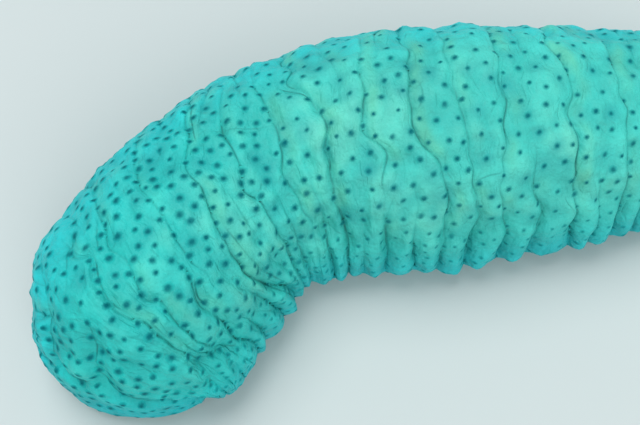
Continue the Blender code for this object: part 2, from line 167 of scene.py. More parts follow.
def section(station, angle):
    """Offset to the side and height of a cross-section, before any crease."""
    wide = half_width(station)
    high = 2 * wide * HEIGHT_TO_WIDTH - WIDEST_HEIGHT
    across, up = np.cos(angle), np.sin(angle)
    side = wide * np.sign(across) * np.abs(across) ** SIDE_POWER
    above = np.degrees(np.arctan2(up, np.abs(across)))
    bulge = MARGIN_BULGE * np.exp(-((above / MARGIN_SPREAD) ** 2))
    groove = MARGIN_GROOVE * np.exp(-(((above - GROOVE_ANGLE) / GROOVE_SPREAD) ** 2))
    side = side + np.sign(across) * (bulge - groove)
    back = WIDEST_HEIGHT + high * np.clip(up, 0, 1) ** BACK_POWER
    belly = WIDEST_HEIGHT * np.clip(1 - SOLE_FALL * np.clip(-up, 0, 1) ** SOLE_POWER, 0, 1)
    return side, np.where(up >= 0, back, belly)


def lip_outline(angle):
    """Offset to the side and forwards of the lip, seen from above."""
    across, up = np.cos(angle), np.sin(angle)
    wide = half_width(FIRST_STATION) * LIP_WIDTH
    above = np.arctan2(np.abs(up), np.abs(across)) / (math.pi / 2)
    start = math.radians(LIP_START)
    turn = start + (math.pi / 2 - start) * above
    corner = FRONT_REACH * math.sin(start)
    below = SOLE_REACH + (corner - SOLE_REACH) * across ** 2
    forward = np.where(up >= 0, FRONT_REACH * np.sin(turn), below)
    spread = np.where(up >= 0, np.cos(turn), math.cos(start) * np.abs(across) ** SIDE_POWER)
    side = wide * spread * np.sign(across)
    return side, forward + FRONT_SKEW * side


def body_surface(along, angle):
    """World points of the smooth body. along runs from the mouth, over the front, to the vent."""
    station = np.clip(along, FIRST_STATION, LAST_STATION)
    side, up = section(station, angle)
    turned = np.clip((FIRST_STATION - along) / FRONT_ARC, 0, 1) * math.pi / 2
    lip_side, lip_forward = lip_outline(angle)
    rises = np.clip(up / WIDEST_HEIGHT, 0, 1)
    forward = lip_forward * np.sin(turned) ** FRONT_BULGE
    up = up * np.cos(turned) ** FRONT_BULGE + LIP_HEIGHT * rises * np.sin(turned)
    side = side + (lip_side - side) * np.sin(turned) ** 2
    for middle, reach, grow in FAR_CORNER:
        side = side + grow * np.exp(-(((along - middle) / reach) ** 2)) * np.clip(np.cos(angle), 0, 1)

    # Past the lip the rings close in on the mouth, and then rise to its ceiling.
    past = np.clip(FIRST_STATION - FRONT_ARC - along, 0, None)
    lip = np.clip(past / LIP_STEP, 0, 1) * math.pi / 2
    shrink = 1 - LIP_INSET * (1 - np.cos(lip))
    forward = np.where(past > 0, MOUTH_CENTRE + (forward - MOUTH_CENTRE) * shrink, forward)
    side = side * np.where(past > 0, shrink, 1)
    up = np.where(past > 0, up * (1 - np.sin(lip)), up)
    to_rim = ease((past - LIP_STEP) / RIM_STEP)
    rise = ease((past - LIP_STEP - RIM_STEP) / WALL_STEP)
    close = np.clip((past - LIP_STEP - RIM_STEP - WALL_STEP) / CEILING_STEP, 0, 1)
    radius = MOUTH_RADIUS * (1 - close)
    forward = forward * (1 - to_rim) + (MOUTH_CENTRE + radius * np.sin(angle)) * to_rim
    side = side * (1 - to_rim) + radius * np.cos(angle) * to_rim
    up = up + MOUTH_DEPTH * rise

    # The rear cap closes on the vent, whose opening then runs back into the body.
    behind = np.clip(along - LAST_STATION, 0, None)
    closing = np.clip(behind / REAR_ARC, 0, 1) * math.pi / 2
    inner = np.clip((behind - REAR_ARC) / VENT_STEP, 0, 1)
    scale = np.cos(closing) ** REAR_POWER
    rim_side, rim_up = VENT_RADIUS * np.cos(angle), VENT_RADIUS * np.sin(angle)
    side = np.where(behind > 0, side * scale + rim_side * (1 - scale), side)
    up = np.where(behind > 0, VENT_HEIGHT + (up - VENT_HEIGHT) * scale + rim_up * (1 - scale), up)
    side = side * (1 - inner ** 2)
    up = np.where(inner > 0, VENT_HEIGHT + (up - VENT_HEIGHT) * (1 - inner ** 2), up)
    forward = np.where(behind > 0, -REAR_REACH * np.sin(closing) + VENT_DEPTH * inner, forward)

    x, y, heading = on_spine(station)
    return np.stack(
        [
            x - np.sin(heading) * side - np.cos(heading) * forward,
            y + np.cos(heading) * side - np.sin(heading) * forward,
            up + SOLE_LIFT,
        ],
        axis=-1,
    )


# The creases between the pleats, from the front to the vent. Each has its places in millimetres
# along the body: on the far shoulder, on the crown, on the near flank and at the near edge. Then
# how strong it is at these four places, and the kinks of some: degrees round the body, and
# millimetres towards the vent.
CREASES = (
    ((-60, -60, -60, -60), (0.0, 0.0, 0.0, 0.0)),
    ((-50, -47, -50, -42), (0.8, 0.0, 0.5, 0.5)),
    ((-36, -34, -38, -31), (0.5, 0.0, 0.1, 0.0)),
    ((-20, -20, -21, -18), (0.5, 0.0, 0.0, 0.0)),
    ((-2, -8, -4, -6), (0.4, 0.0, 0.3, 0.05)),
    ((24, 7, 4, 8), (0.2, 0.95, 0.6, 0.0), (80, 8), (115, 3)),
    ((35, 17, 10, 22), (0.4, 0.0, 0.5, 0.05), (158, 7)),
    ((50, 26, 18, 29), (0.5, 0.9, 0.9, 0.0), (85, -5)),
    ((62, 40, 31, 36), (0.3, 0.1, 1.2, 1.3), (115, 3), (160, -4)),
    ((77, 50, 38, 44), (0.5, 0.8, 0.1, 0.7)),
    ((88, 63, 46, 60), (0.6, 0.0, 0.2, 1.1)),
    ((101, 75, 54, 76), (0.5, 1.1, 1.1, 1.2), (80, 5), (88, -4), (160, -3)),
    ((108, 86, 72, 84), (0.6, 0.1, 0.5, 0.0)),
    ((114, 99, 88, 92), (0.3, 1.1, 1.0, 0.4), (113, -5), (152, 4)),
    ((120, 111, 102, 105), (0.6, 0.0, 0.5, 1.1)),
    ((126, 122, 116, 119), (0.5, 0.8, 0.8, 0.0), (119, -4), (148, 4)),
    ((131, 132, 129, 134), (0.2, 0.0, 0.5, 1.0)),
    ((139, 143, 143, 148), (0.9, 0.9, 1.6, 1.7), (80, -7), (103, 4), (150, 2)),
    ((153, 156, 157, 160), (0.6, 0.1, 0.2, 0.3)),
    ((170, 167, 170, 173), (0.4, 0.8, 0.8, 0.9), (106, -3), (121, 5)),
    ((178, 177, 185, 186), (0.5, 0.0, 0.2, 1.0)),
    ((190, 188, 200, 199), (0.9, 1.0, 1.0, 1.0), (77, 4), (99, -3), (112, -5)),
    ((208, 208, 213, 213), (0.3, 0.6, 0.8, 1.3), (156, 3)),
    ((233, 230, 226, 231), (0.9, 0.9, 1.0, 1.0), (103, 3)),
    ((245, 243, 242, 246), (0.4, 0.0, 0.7, 0.9), (158, 4)),
    ((262, 261, 261, 267), (1.1, 1.2, 1.1, 0.9), (74, -4), (98, 4), (122, 3)),
    ((275, 274, 274, 278), (0.4, 0.0, 0.3, 0.7)),
    ((289, 288, 288, 290), (0.7, 0.9, 0.8, 1.0), (112, 2)),
    ((301, 300, 300, 301), (0.7, 0.2, 0.5, 0.9)),
    ((312, 311, 312, 312), (0.9, 0.9, 0.8, 1.0), (84, -3), (120, 3)),
    ((325, 325, 326, 325), (0.5, 0.1, 0.5, 0.8)),
    ((337, 338, 338, 337), (0.9, 0.9, 0.9, 1.0), (70, 3), (108, -3)),
    ((350, 350, 351, 350), (0.7, 0.1, 0.6, 0.9)),
    ((362, 363, 363, 362), (0.8, 0.8, 0.8, 0.9), (95, 3)),
    ((376, 376, 376, 376), (0.6, 0.3, 0.6, 0.7)),
    ((390, 389, 389, 390), (0.8, 0.7, 0.7, 0.8)),
    ((403, 403, 403, 403), (0.5, 0.3, 0.5, 0.5)),
    ((417, 417, 417, 417), (0.0, 0.0, 0.0, 0.0)),
)
FAR_SHOULDER, CROWN, NEAR_FLANK, NEAR_EDGE = 55, 95, 140, 175  # degrees round the body
SOLE_EDGE = 25  # degrees below the widest place
KINK_REACH = 7.0  # degrees
CREASE_SEED = 11
STRAY_KINKS = 3  # more of them at random on each crease, this high, between these angles
STRAY_HEIGHT = 0.9
STRAY_KINK_ANGLES = (15, 165)
CLOSEST = 2.4  # millimetres along between two creases
BACK_DEPTH = 0.0015  # of a crease whose strength is 1
EDGE_DEPTH = 0.0065
FAR_EDGE_DEPTH = 0.0020
EDGE_LEVEL = 0.02  # sine of the angle where the creases are deepest
EDGE_BANDS = (0.34, 0.25)  # how wide that is in front of the bend and behind it
BANDS_CHANGE = (0.085, 0.135)  # places along between which it changes
CREASE_END, END_BAND = -0.42, 0.40  # sine of the angle where they end under the sole
DEEPEST_SHARE = 0.42  # of the distance to the next crease that shows
SHOWS_FROM = 0.30  # strength
LEAST_SHOWN = 0.02  # of that, for a crease with no strength
LINE_SWAY = 0.0009  # how far a crease wanders from its line, in long and in short waves
LINE_TREMBLE = 0.00035
SWAY_WAVES = (4, 11)  # their numbers round the body, and those of the waves in its strength
TREMBLE_WAVES = (18, 34)
STRENGTH_WAVES = (3, 13)
STRENGTH_VARIES = 0.38
# Two values each, on the back and at the edge. On the back a pleat rises gently behind its
# crease and drops steeply before the next. At the edge it is a rounded lobe.
PLEAT_BEHIND = (0.0060, 0.0090)
PLEAT_AHEAD = (0.0017, 0.0080)
SHARE_BEHIND = (0.62, 0.54)  # at most these shares of the way to the next crease
SHARE_AHEAD = (0.36, 0.46)
POWER_BEHIND = 2.0
POWER_AHEAD = 1.6
LOBE_CURVE = 0.93  # how nearly the lobes at the edge are half circles
CREST_LIFT = (0.00050, 0.0)
CREST_PLACE = 0.0042  # in front of the crease
CREST_WIDTH = 0.0026
HIGHEST_CREST = 1.2  # strength
LINE_WIDTH = 0.00042  # of the painted shade line in a crease
LINE_POWER = 1.5
SLOPE_PLACE, SLOPE_WIDTH = 0.0035, 0.0035  # of the slope behind a crease, which is tinted
LOBE_SWELL = 0.0014
FAR_SWELL = 0.35  # of that at the far edge
LOBE_ROUND = 0.0045
RISE_RANGE = 0.0050  # between the deepest and the highest skin, for the painted shade and light on it

# Folds that leave the rows of pleats: points (degrees round, millimetres along), then depth and
# half width in millimetres, and how dark the painted shade line in it is.
CORNER_FOLD = (
    (90, -4), (93, -12), (98, -24), (101, -34), (107, -43),
    (117, -49), (131, -51), (146, -49), (158, -45),
)
EDGE_GROOVE = (
    (164, 152), (162, 166), (165, 181), (161, 197), (164, 213),
    (160, 229), (163, 246), (161, 262), (164, 288),
)
FOLDS = (
    # Over the front: from its crown down to the near corner, round its far side, and short ones
    (CORNER_FOLD, 2.2, 3.0, 0.75),
    (((58, -4), (64, -21), (68, -37), (77, -48), (92, -49), (102, -42)), 2.5, 2.7, 0.80),
    (((72, -16), (77, -28), (86, -36)), 0.9, 1.8, 0.35),
    (((42, 20), (50, 10), (57, 0), (62, -12), (66, -24)), 1.0, 2.2, 0.3),
    (((60, 34), (66, 22), (72, 10), (78, -2)), 0.9, 1.7, 0.4),
    (((70, 40), (76, 31), (82, 25)), 0.8, 1.6, 0.4),
    (((79, 25), (83, 21), (88, 15), (92, 10), (98, 7), (106, 7)), 1.2, 1.9, 0.80),
    (((108, -6), (116, -3), (124, -1), (133, -1)), 0.6, 1.6, 0.35),
    (((112, -24), (124, -20), (136, -22)), 0.8, 2.0, 0.3),
    # The near flank of the front, with its dark pocket and the groove above the big lobe
    (((119, 37), (127, 32), (137, 31)), 1.5, 2.1, 0.85),
    (((134, 3), (142, 5), (150, 7), (154, 14), (158, 24), (165, 30), (172, 34)), 2.0, 2.6, 0.55),
    # Broad valleys that part the bulges of the front
    (((92, -8), (96, -20), (101, -33), (107, -43), (118, -49)), 1.5, 6.0, 0.0),
    (((86, 19), (92, 10), (100, 6), (112, 6), (126, 7), (140, 8)), 0.9, 6.0, 0.0),
    (((74, -20), (77, -34), (84, -46)), 1.2, 5.0, 0.0),
    (((120, 36), (132, 31), (144, 31), (156, 34)), 1.3, 5.0, 0.0),
    (((138, 4), (150, 10), (158, 24)), 1.0, 5.0, 0.0),
    # Across the big lobe of the front, and between the lobes up to the bend
    (((146, 7), (154, 4), (161, 0), (167, -9), (171, -20)), 2.0, 3.0, 0.55),
    (((150, 56), (160, 62), (170, 69), (180, 76)), 1.5, 2.0, 0.8),
    (((148, 94), (156, 92), (165, 89), (172, 91), (179, 97)), 1.5, 1.8, 0.6),
    (((158, 44), (166, 51), (176, 60)), 0.8, 1.6, 0.3),
    (((114, 65), (125, 62), (135, 61), (148, 63), (160, 69), (172, 76)), 1.0, 1.5, 0.7),
    # On the far shoulder and the crown of the bend
    (((60, 102), (68, 97), (76, 93), (84, 89)), 0.9, 1.5, 0.6),
    (((80, 93), (88, 104), (92, 114), (96, 126)), 0.8, 1.6, 0.3),
    (((77, 86), (80, 92), (82, 98)), 0.6, 1.3, 0.2),
    (((78, 130), (83, 134), (88, 140), (93, 144)), 1.9, 2.4, 0.75),
    # Behind the bend: the pocket beside the deepest crease, and short ones on the back
    (((149, 128), (153, 134), (157, 140), (159, 147)), 3.0, 4.2, 0.3),
    (((136, 213), (134, 219), (133, 226)), 0.7, 1.2, 0.4),
    (((90, 191), (95, 193), (100, 192), (104, 189)), 0.4, 1.0, 0.35),
    # The groove above the lobes of the near edge
    (EDGE_GROOVE, 1.1, 2.3, 0.12),
)
STRAY_FOLDS = 260  # short ones at random, lengthwise or crosswise
STRAY_SEED = 17
STRAY_PLACES = (-55, 415)  # millimetres along
STRAY_GATHER = 0.9  # below 1 they lie a little closer at both edges
STRAY_LENGTH = (5.0, 17.0)  # millimetres
LENGTHWISE_LENGTH, CROSSWISE_LENGTH = 0.8, 1.3  # of that
STRAY_TILT, STRAY_BOW, STRAY_WAVER = 0.35, 0.18, 0.10  # radians
STRAY_POINTS = 4
STRAY_DEPTH = (0.22, 0.70)
STRAY_WIDTH = (1.0, 1.8)
STRAY_DARK = (0.0, 0.22)
CROSSWISE_SHARE = 0.60
STRAYS_FULL_ABOVE = 0.5  # sine of the angle below which they fade
WIDER_BEHIND, NARROWER_AHEAD = 1.7, 0.85  # of a fold's half width
FOLD_CREST = 0.30  # height of the crest beside it, of its depth
FOLD_CREST_PLACE = 2.2  # half widths ahead of it
FOLD_ENDS = 0.25  # share of its length over which each end runs out
FOLD_SAMPLES = 10  # for each of its points
FOLD_REACH = 5  # half widths to either side that it can change
FOLD_FADE = 0.0011  # where the painted shade of its line begins to fade, and it is gone at twice that

AROUND = 204  # points in a ring
SOLE_SHARE = 0.13  # of them under the sole
# The rings from one crease to the next, as shares of the way, and fewer from the middle back
FOLD_STEPS = (0.0, 0.03, 0.075, 0.14, 0.23, 0.34, 0.46, 0.58, 0.70, 0.80, 0.88, 0.94, 0.975)
REAR_STEPS = (0.0, 0.04, 0.12, 0.25, 0.42, 0.60, 0.77, 0.89, 0.96)
REAR_FOLDS_FROM = 0.296
MOUTH_RINGS = 22
VENT_RINGS = 12
SWELL = ((0.042, 0.0016), (0.016, 0.0020), (0.0080, 0.00100))  # size and height of soft lumps
# Of long wrinkles: their size along the body and round it, and their height
WRINKLES = ((0.0052, 0.022, 0.00095), (0.0105, 0.030, 0.0010), (0.020, 0.0062, 0.00075))
WRINKLE_LAYER = 7.3  # how far apart the layers of wrinkles lie in the noise
SWELL_END, SWELL_BAND = -0.45, 0.4  # sine of the angle where the lumps end under the sole
MOUTH_CALM = 0.03  # no lumps this near the mouth's end, and all of them at twice that
FRONT_SIDES_END = 0.08  # in front of it the sides have calmer lumps
CALMER_FRONT_SIDES = 0.60
MOUTH_PUCKERS = 26
MOUTH_PUCKER_DEPTH = 0.0007
VENT_PUCKERS = 11
VENT_PUCKER_DEPTH = 0.0012
VENT_PUCKERS_FROM = 0.75  # share of the rear cap
GIRTH_STATION = 0.19  # where the way round the body is measured


def round_the_body(degrees, values):
    """Spreads a crease's four values over all angles. Below the edges they go over into each other."""
    far, crown, near, edge = values
    sole = (180 + SOLE_EDGE, 270, 360 - SOLE_EDGE)
    turns = (-FAR_SHOULDER, 0, FAR_SHOULDER, CROWN, NEAR_FLANK, NEAR_EDGE) + sole + (360,)
    levels = ((far + edge) / 2, far, far, crown, near, edge, edge, (far + edge) / 2, far, far)
    return smooth_through(degrees, turns, levels)


def waves(angles, draws, first, last):
    """A closed, wandering line from a few waves round the body, at most about 1 high."""
    total = np.zeros_like(angles)
    for turns in range(first, last):
        total += math.sin(draws.uniform(0, math.tau)) * np.sin(turns * angles + draws.uniform(0, math.tau))
    return total / math.sqrt((last - first) / 2)


def ring_angles():
    """Angles round a ring, fewer under the flat sole than over the back."""
    share = np.arange(AROUND) / AROUND
    back = 1 - SOLE_SHARE
    over = -SOLE_EDGE + (180 + 2 * SOLE_EDGE) * share / back
    under = 180 + SOLE_EDGE + (180 - 2 * SOLE_EDGE) * (share - back) / SOLE_SHARE
    return np.radians(np.where(share < back, over, under))


def crease_lines(angles):
    """Where each crease lies and how strong it is at each angle, both wandering a little."""
    draws = random.Random(CREASE_SEED)
    degrees = np.degrees(angles)
    lines, strengths = [], []
    for places, strong, *kinks in CREASES:
        calm = 0.0 if max(strong) == 0 else 1.0
        line = round_the_body(degrees, places)
        for at, shift in kinks:
            line = line + shift * np.exp(-(((degrees - at) / KINK_REACH) ** 2))
        for _ in range(STRAY_KINKS):
            from_kink = (degrees - draws.uniform(*STRAY_KINK_ANGLES)) / KINK_REACH
            line = line + calm * draws.gauss(0, STRAY_HEIGHT) * from_kink * np.exp(0.5 - from_kink ** 2)
        sway = LINE_SWAY * waves(angles, draws, *SWAY_WAVES)
        sway = sway + LINE_TREMBLE * waves(angles, draws, *TREMBLE_WAVES)
        lines.append(line / 1000 + calm * sway)
        varied = 1 + STRENGTH_VARIES * waves(angles, draws, *STRENGTH_WAVES)
        strengths.append(np.clip(round_the_body(degrees, strong) * varied, 0, None))
    for k in range(1, len(lines)):
        lines[k] = np.maximum(lines[k], lines[k - 1] + CLOSEST / 1000)
    return np.array(lines), np.array(strengths)


def spans(gaps, strengths):
    """The way from each crease to the next one that shows, behind it and ahead of it."""
    shows = np.clip(strengths / SHOWS_FROM, 0, 1)
    behind, ahead = np.zeros_like(strengths), np.zeros_like(strengths)
    behind[-1], ahead[0] = gaps[-1], gaps[0]
    for k in range(len(gaps) - 1, -1, -1):
        behind[k] = gaps[k] + (1 - shows[k + 1]) * behind[k + 1]
    for k in range(1, len(gaps) + 1):
        ahead[k] = gaps[k - 1] + (1 - shows[k - 1]) * ahead[k - 1]
    return behind, ahead


def falloff(distance, reach, power, roundness):
    """From 1 in the crease to 0 at the end of its reach, as a valley or between round lobes."""
    rest = np.clip(1 - distance / reach, 0, 1)
    lobes = (1 - np.sqrt(1 - LOBE_CURVE * rest ** 2)) / (1 - math.sqrt(1 - LOBE_CURVE))
    return rest ** power * (1 - roundness) + lobes * roundness


def normals_of(along, angles, points):
    step, turn = 0.0005, 0.01  # metres along the body, and radians round it
    ahead = body_surface(along + step, angles) - points
    round_it = body_surface(along, angles + turn) - points
    normal = np.cross(round_it, ahead)
    return normal / np.maximum(np.linalg.norm(normal, axis=-1, keepdims=True), 1e-12)


def edge_share(up, place):
    """1 at the edges of the body, 0 on its back."""
    behind = ease((place - BANDS_CHANGE[0]) / (BANDS_CHANGE[1] - BANDS_CHANGE[0]))
    band = EDGE_BANDS[0] + (EDGE_BANDS[1] - EDGE_BANDS[0]) * behind
    return np.exp(-(((up - EDGE_LEVEL) / band) ** 2))


def plain_rings(start, end, count):
    """Rings without a crease, evenly between two places along the body."""
    nothing = np.zeros(AROUND)
    shares = (np.arange(count) + 1) / (count + 1)
    return [(np.full(AROUND, start + (end - start) * share),) + 4 * (nothing,) for share in shares]


def body_rings():
    """All rings of points from mouth to vent, and the marks that go with each point."""
    angles = ring_angles()
    lines, strengths = crease_lines(angles)
    gaps = np.linalg.norm(np.diff(body_surface(lines, angles[None, :]), axis=0), axis=-1)
    behind, ahead = spans(gaps, strengths)
    up = np.sin(angles)
    at_edge = edge_share(up, lines)
    near_side = ease(0.5 - np.cos(angles))
    edge_depth = FAR_EDGE_DEPTH + (EDGE_DEPTH - FAR_EDGE_DEPTH) * near_side
    shape = (BACK_DEPTH + (edge_depth - BACK_DEPTH) * at_edge) * ease((up - CREASE_END) / END_BAND)
    depths = np.minimum(shape * strengths, DEEPEST_SHARE * np.minimum(behind, ahead))
    lift, far_behind, far_ahead, share_behind, share_ahead = (
        back + (edge - back) * at_edge
        for back, edge in (CREST_LIFT, PLEAT_BEHIND, PLEAT_AHEAD, SHARE_BEHIND, SHARE_AHEAD)
    )
    reach_behind = np.minimum(far_behind, share_behind * behind)
    reach_ahead = np.minimum(far_ahead, share_ahead * ahead)
    starts = np.vstack([np.zeros(AROUND), np.cumsum(gaps, axis=0)])

    rows = plain_rings(MOUTH_END, lines[0][0], MOUTH_RINGS)
    for fold in range(len(CREASES) - 1):
        steps = FOLD_STEPS if lines[fold].mean() < REAR_FOLDS_FROM else REAR_STEPS
        for step in steps:
            row = lines[fold] * (1 - step) + lines[fold + 1] * step
            past = starts[fold] + step * gaps[fold] - starts
            to_next = np.clip(-past, 0, None)
            before = past < 0
            deep = np.where(
                before,
                falloff(to_next, reach_ahead, POWER_AHEAD, at_edge),
                falloff(past, reach_behind, POWER_BEHIND, at_edge),
            )
            crest = np.exp(-(((to_next - CREST_PLACE) / CREST_WIDTH) ** 2)) * (ahead > 2 * CREST_PLACE)
            raised = lift * np.clip(strengths, 0, HIGHEST_CREST) * crest
            deep = (depths * deep - raised * before).sum(axis=0)
            # Painted shade: a dark line in each crease, as strong as the crease
            dark = (strengths ** LINE_POWER * np.exp(-((past / LINE_WIDTH) ** 2))).max(axis=0)
            slope = (strengths * np.exp(-(((past - SLOPE_PLACE) / SLOPE_WIDTH) ** 2))).max(axis=0)
            nearest = (np.abs(past) / np.clip(strengths / SHOWS_FROM, LEAST_SHOWN, 1)).min(axis=0)
            lobe = edge_share(up, row) ** 2 * (1 - np.exp(-((nearest / LOBE_ROUND) ** 2)))
            lobe = lobe * (FAR_SWELL + (1 - FAR_SWELL) * near_side)
            rows.append((row, deep, dark, slope, lobe))
    rows.append((lines[-1], depths[-1]) + 3 * (np.zeros(AROUND),))
    rows += plain_rings(lines[-1][0], VENT_END, VENT_RINGS)
    return (angles,) + tuple(np.array(column) for column in zip(*rows))


def lumps(points, spots):
    """Soft swellings of the skin, and wrinkles that run with the pleats or along the body."""
    height = np.zeros(len(points))
    for size, tall in SWELL:
        height += tall * np.array([noise.noise(Vector(point) / size) for point in points])
    for number, (long, wide, tall) in enumerate(WRINKLES):
        layer = np.full(len(spots), WRINKLE_LAYER * number)
        places = np.column_stack([spots[:, 0] / long, spots[:, 1] / wide, layer])
        height += tall * np.array([noise.noise(Vector(place)) for place in places])
    return height


def girth_of(angles):
    """The way round the body to each angle, in metres, closed at the end."""
    ring = body_surface(np.array(GIRTH_STATION), angles)
    arc = np.linalg.norm(np.diff(ring, axis=0), axis=-1)
    girth = np.concatenate([[0.0], np.cumsum(arc)])
    return np.append(girth, girth[-1] + arc[0])


def stray_folds():
    """Short folds at random: points, depth, half width and darkness of the painted shade in its line, as
    in the list above.
    """
    draws = random.Random(STRAY_SEED)
    made = []
    for _ in range(STRAY_FOLDS):
        place = draws.uniform(*STRAY_PLACES)
        degrees = 180 * draws.betavariate(STRAY_GATHER, STRAY_GATHER)
        lengthwise = draws.random() > CROSSWISE_SHARE
        heading = draws.gauss(0, STRAY_TILT) + (math.pi / 2 if lengthwise else 0.0)
        long = draws.uniform(*STRAY_LENGTH) * (LENGTHWISE_LENGTH if lengthwise else CROSSWISE_LENGTH)
        bow = draws.gauss(0, STRAY_BOW)
        path = []
        for _ in range(STRAY_POINTS):
            path.append((degrees, place))
            # A degree round the back is about a millimetre.
            degrees += math.cos(heading) * long / (STRAY_POINTS - 1)
            place += math.sin(heading) * long / (STRAY_POINTS - 1)
            heading += bow + draws.gauss(0, STRAY_WAVER)
        on_back = float(ease(math.sin(math.radians(path[1][0])) / STRAYS_FULL_ABOVE))
        deep = draws.uniform(*STRAY_DEPTH) * on_back
        made.append((path, deep, draws.uniform(*STRAY_WIDTH), draws.uniform(*STRAY_DARK) * on_back))
    return made


def lay_folds(points, normals):
    """Depth, distance to the nearest fold's line and the strength of that line's painted shade, for each
    point.
    """
    flat, outward = points.reshape(-1, 3), normals.reshape(-1, 3)
    deep, away, line = np.zeros(len(flat)), np.zeros(len(flat)), np.zeros(len(flat))
    for path, depth, width, dark in list(FOLDS) + stray_folds():
        depth, width = depth / 1000, width / 1000
        t = np.linspace(0, len(path) - 1, FOLD_SAMPLES * len(path))
        degrees = smooth_through(t, range(len(path)), [float(point[0]) for point in path])
        places = smooth_through(t, range(len(path)), [float(point[1]) for point in path])
        fold = body_surface(places / 1000, np.radians(degrees))
        tangent = np.gradient(fold, axis=0)
        tangent /= np.linalg.norm(tangent, axis=-1, keepdims=True)
        low, high = fold.min(axis=0) - FOLD_REACH * width, fold.max(axis=0) + FOLD_REACH * width
        near = np.flatnonzero(((flat > low) & (flat < high)).all(axis=1))
        offset = flat[near][:, None] - fold[None]
        which = (offset ** 2).sum(axis=-1).argmin(axis=1)
        offset = offset[np.arange(len(near)), which]
        across = (offset * np.cross(outward[near], tangent[which])).sum(axis=-1)
        distance = np.linalg.norm(offset, axis=-1)
        share = which / (len(t) - 1)
        ends = ease(share / FOLD_ENDS) * ease((1 - share) / FOLD_ENDS)
        wide = width * np.where(across > 0, WIDER_BEHIND, NARROWER_AHEAD)
        crest = np.exp(-(((across + FOLD_CREST_PLACE * width) / width) ** 2))
        profile = np.exp(-((distance / wide) ** 2)) - FOLD_CREST * crest
        deep[near] += depth * ends * profile
        # The painted shade of the fold's line, fading with distance from it and at its ends
        mark = dark * ends * np.clip(2 - distance / FOLD_FADE, 0, 1)
        stronger = mark > line[near]
        away[near] = np.where(stronger, across, away[near])
        line[near] = np.where(stronger, mark, line[near])
    return (values.reshape(points.shape[:2]) for values in (deep, away, line))


angles, along, depth, dark, slope, lobe = body_rings()
ring_count = len(along)
points = body_surface(along, angles[None, :])
normals = normals_of(along, np.broadcast_to(angles, along.shape), points)
girth = girth_of(angles)
spots = np.stack([along, np.broadcast_to(girth[:-1], along.shape)], axis=-1)
swell = lumps(points.reshape(-1, 3), spots.reshape(-1, 2)).reshape(along.shape)
swell = swell * ease((np.sin(angles)[None, :] - SWELL_END) / SWELL_BAND)
swell = swell * ease((along - MOUTH_END - MOUTH_CALM) / MOUTH_CALM)
past_lip = ease((FIRST_STATION - FRONT_ARC - along) / LIP_STEP)
swell -= MOUTH_PUCKER_DEPTH * past_lip * (0.5 + 0.5 * np.cos(MOUTH_PUCKERS * angles))[None, :]
at_vent = along - LAST_STATION - VENT_PUCKERS_FROM * REAR_ARC
at_vent = ease(at_vent / ((1 - VENT_PUCKERS_FROM) * REAR_ARC))
at_vent = at_vent * (1 - ease((along - VENT_END + VENT_STEP) / VENT_STEP))
swell -= VENT_PUCKER_DEPTH * at_vent * (0.5 + 0.5 * np.cos(VENT_PUCKERS * angles))[None, :]
fold_depth, fold_away, fold_line_shade = lay_folds(points, normals)
front_sides = np.abs(np.cos(angles))[None, :] * ease((FRONT_SIDES_END - along) / FRONT_SIDES_END)
swell = swell * (1 - CALMER_FRONT_SIDES * front_sides)
standing = swell + LOBE_SWELL * lobe - depth - fold_depth
# Each point then goes half way to the middle of its two neighbours in the ring.
standing = (np.roll(standing, 1, axis=1) + 2 * standing + np.roll(standing, -1, axis=1)) / 4
points = points + normals * standing[..., None]
points[..., 2] = np.maximum(points[..., 2], SOLE_LIFT)

# The skin starts as a sphere of as many rings and columns, whose points then take their places.
bpy.ops.object.select_all(action="DESELECT")
bpy.ops.mesh.primitive_uv_sphere_add(segments=AROUND, ring_count=ring_count + 1, radius=1.0)
skin = bpy.context.object
skin.name = "skin"
skin.data.name = "skin"


def read(collection, field, size, kind=np.float64):
    values = np.empty(len(collection) * size, kind)
    collection.foreach_get(field, values)
    return values.reshape(-1, size) if size > 1 else values


sphere = read(skin.data.vertices, "co", 3)
ring_of = np.rint((1 - np.arccos(np.clip(sphere[:, 2], -1, 1)) / math.pi) * (ring_count + 1)).astype(int)
column_of = np.rint(np.arctan2(sphere[:, 1], sphere[:, 0]) / math.tau * AROUND).astype(int) % AROUND
inner_ring = np.clip(ring_of - 1, 0, ring_count - 1)
placed = points[inner_ring, column_of]
placed[ring_of == 0] = body_surface(np.array(MOUTH_END), np.array(0.0))
placed[ring_of == ring_count + 1] = body_surface(np.array(VENT_END), np.array(0.0))
skin.data.vertices.foreach_set("co", placed.ravel())
bpy.ops.object.mode_set(mode="EDIT")
bpy.ops.mesh.select_all(action="SELECT")
bpy.ops.mesh.normals_make_consistent(inside=False)
bpy.ops.object.mode_set(mode="OBJECT")
bpy.ops.object.shade_smooth()


def write_mark(mesh, name, values):
    mark = mesh.attributes.new(name, "FLOAT", "POINT")
    mark.data.foreach_set("value", np.asarray(values, np.float32))


def write_map(mesh, name, places):
    layer = mesh.uv_layers.new(name=name)
    layer.data.foreach_set("uv", np.asarray(places, np.float32).ravel())


# The skin's own map runs round the body and along it, in metres, and follows the pleats. A face
# that closes a ring runs on past the last column, and not back to the first.
SEAM_SHARE = 0.25  # of a ring, more than any face spans
MAP_MARGIN = 0.01
length = along.mean(axis=1) - MOUTH_END
length = np.concatenate([[0.0], length, [VENT_END - MOUTH_END]])
corner_vertex = read(skin.data.loops, "vertex_index", 1, np.int32)
face_start = read(skin.data.polygons, "loop_start", 1, np.int32)
face_size = read(skin.data.polygons, "loop_total", 1, np.int32)
corner_column = column_of[corner_vertex]
widest = np.repeat(np.maximum.reduceat(corner_column, face_start), face_size)
closes_ring = (widest > (1 - SEAM_SHARE) * AROUND) & (corner_column < SEAM_SHARE * AROUND)
corner_column = np.where(closes_ring, AROUND, corner_column)
lie = np.stack([girth[corner_column], length[ring_of[corner_vertex]]], axis=-1)
while skin.data.uv_layers:
    skin.data.uv_layers.remove(skin.data.uv_layers[0])
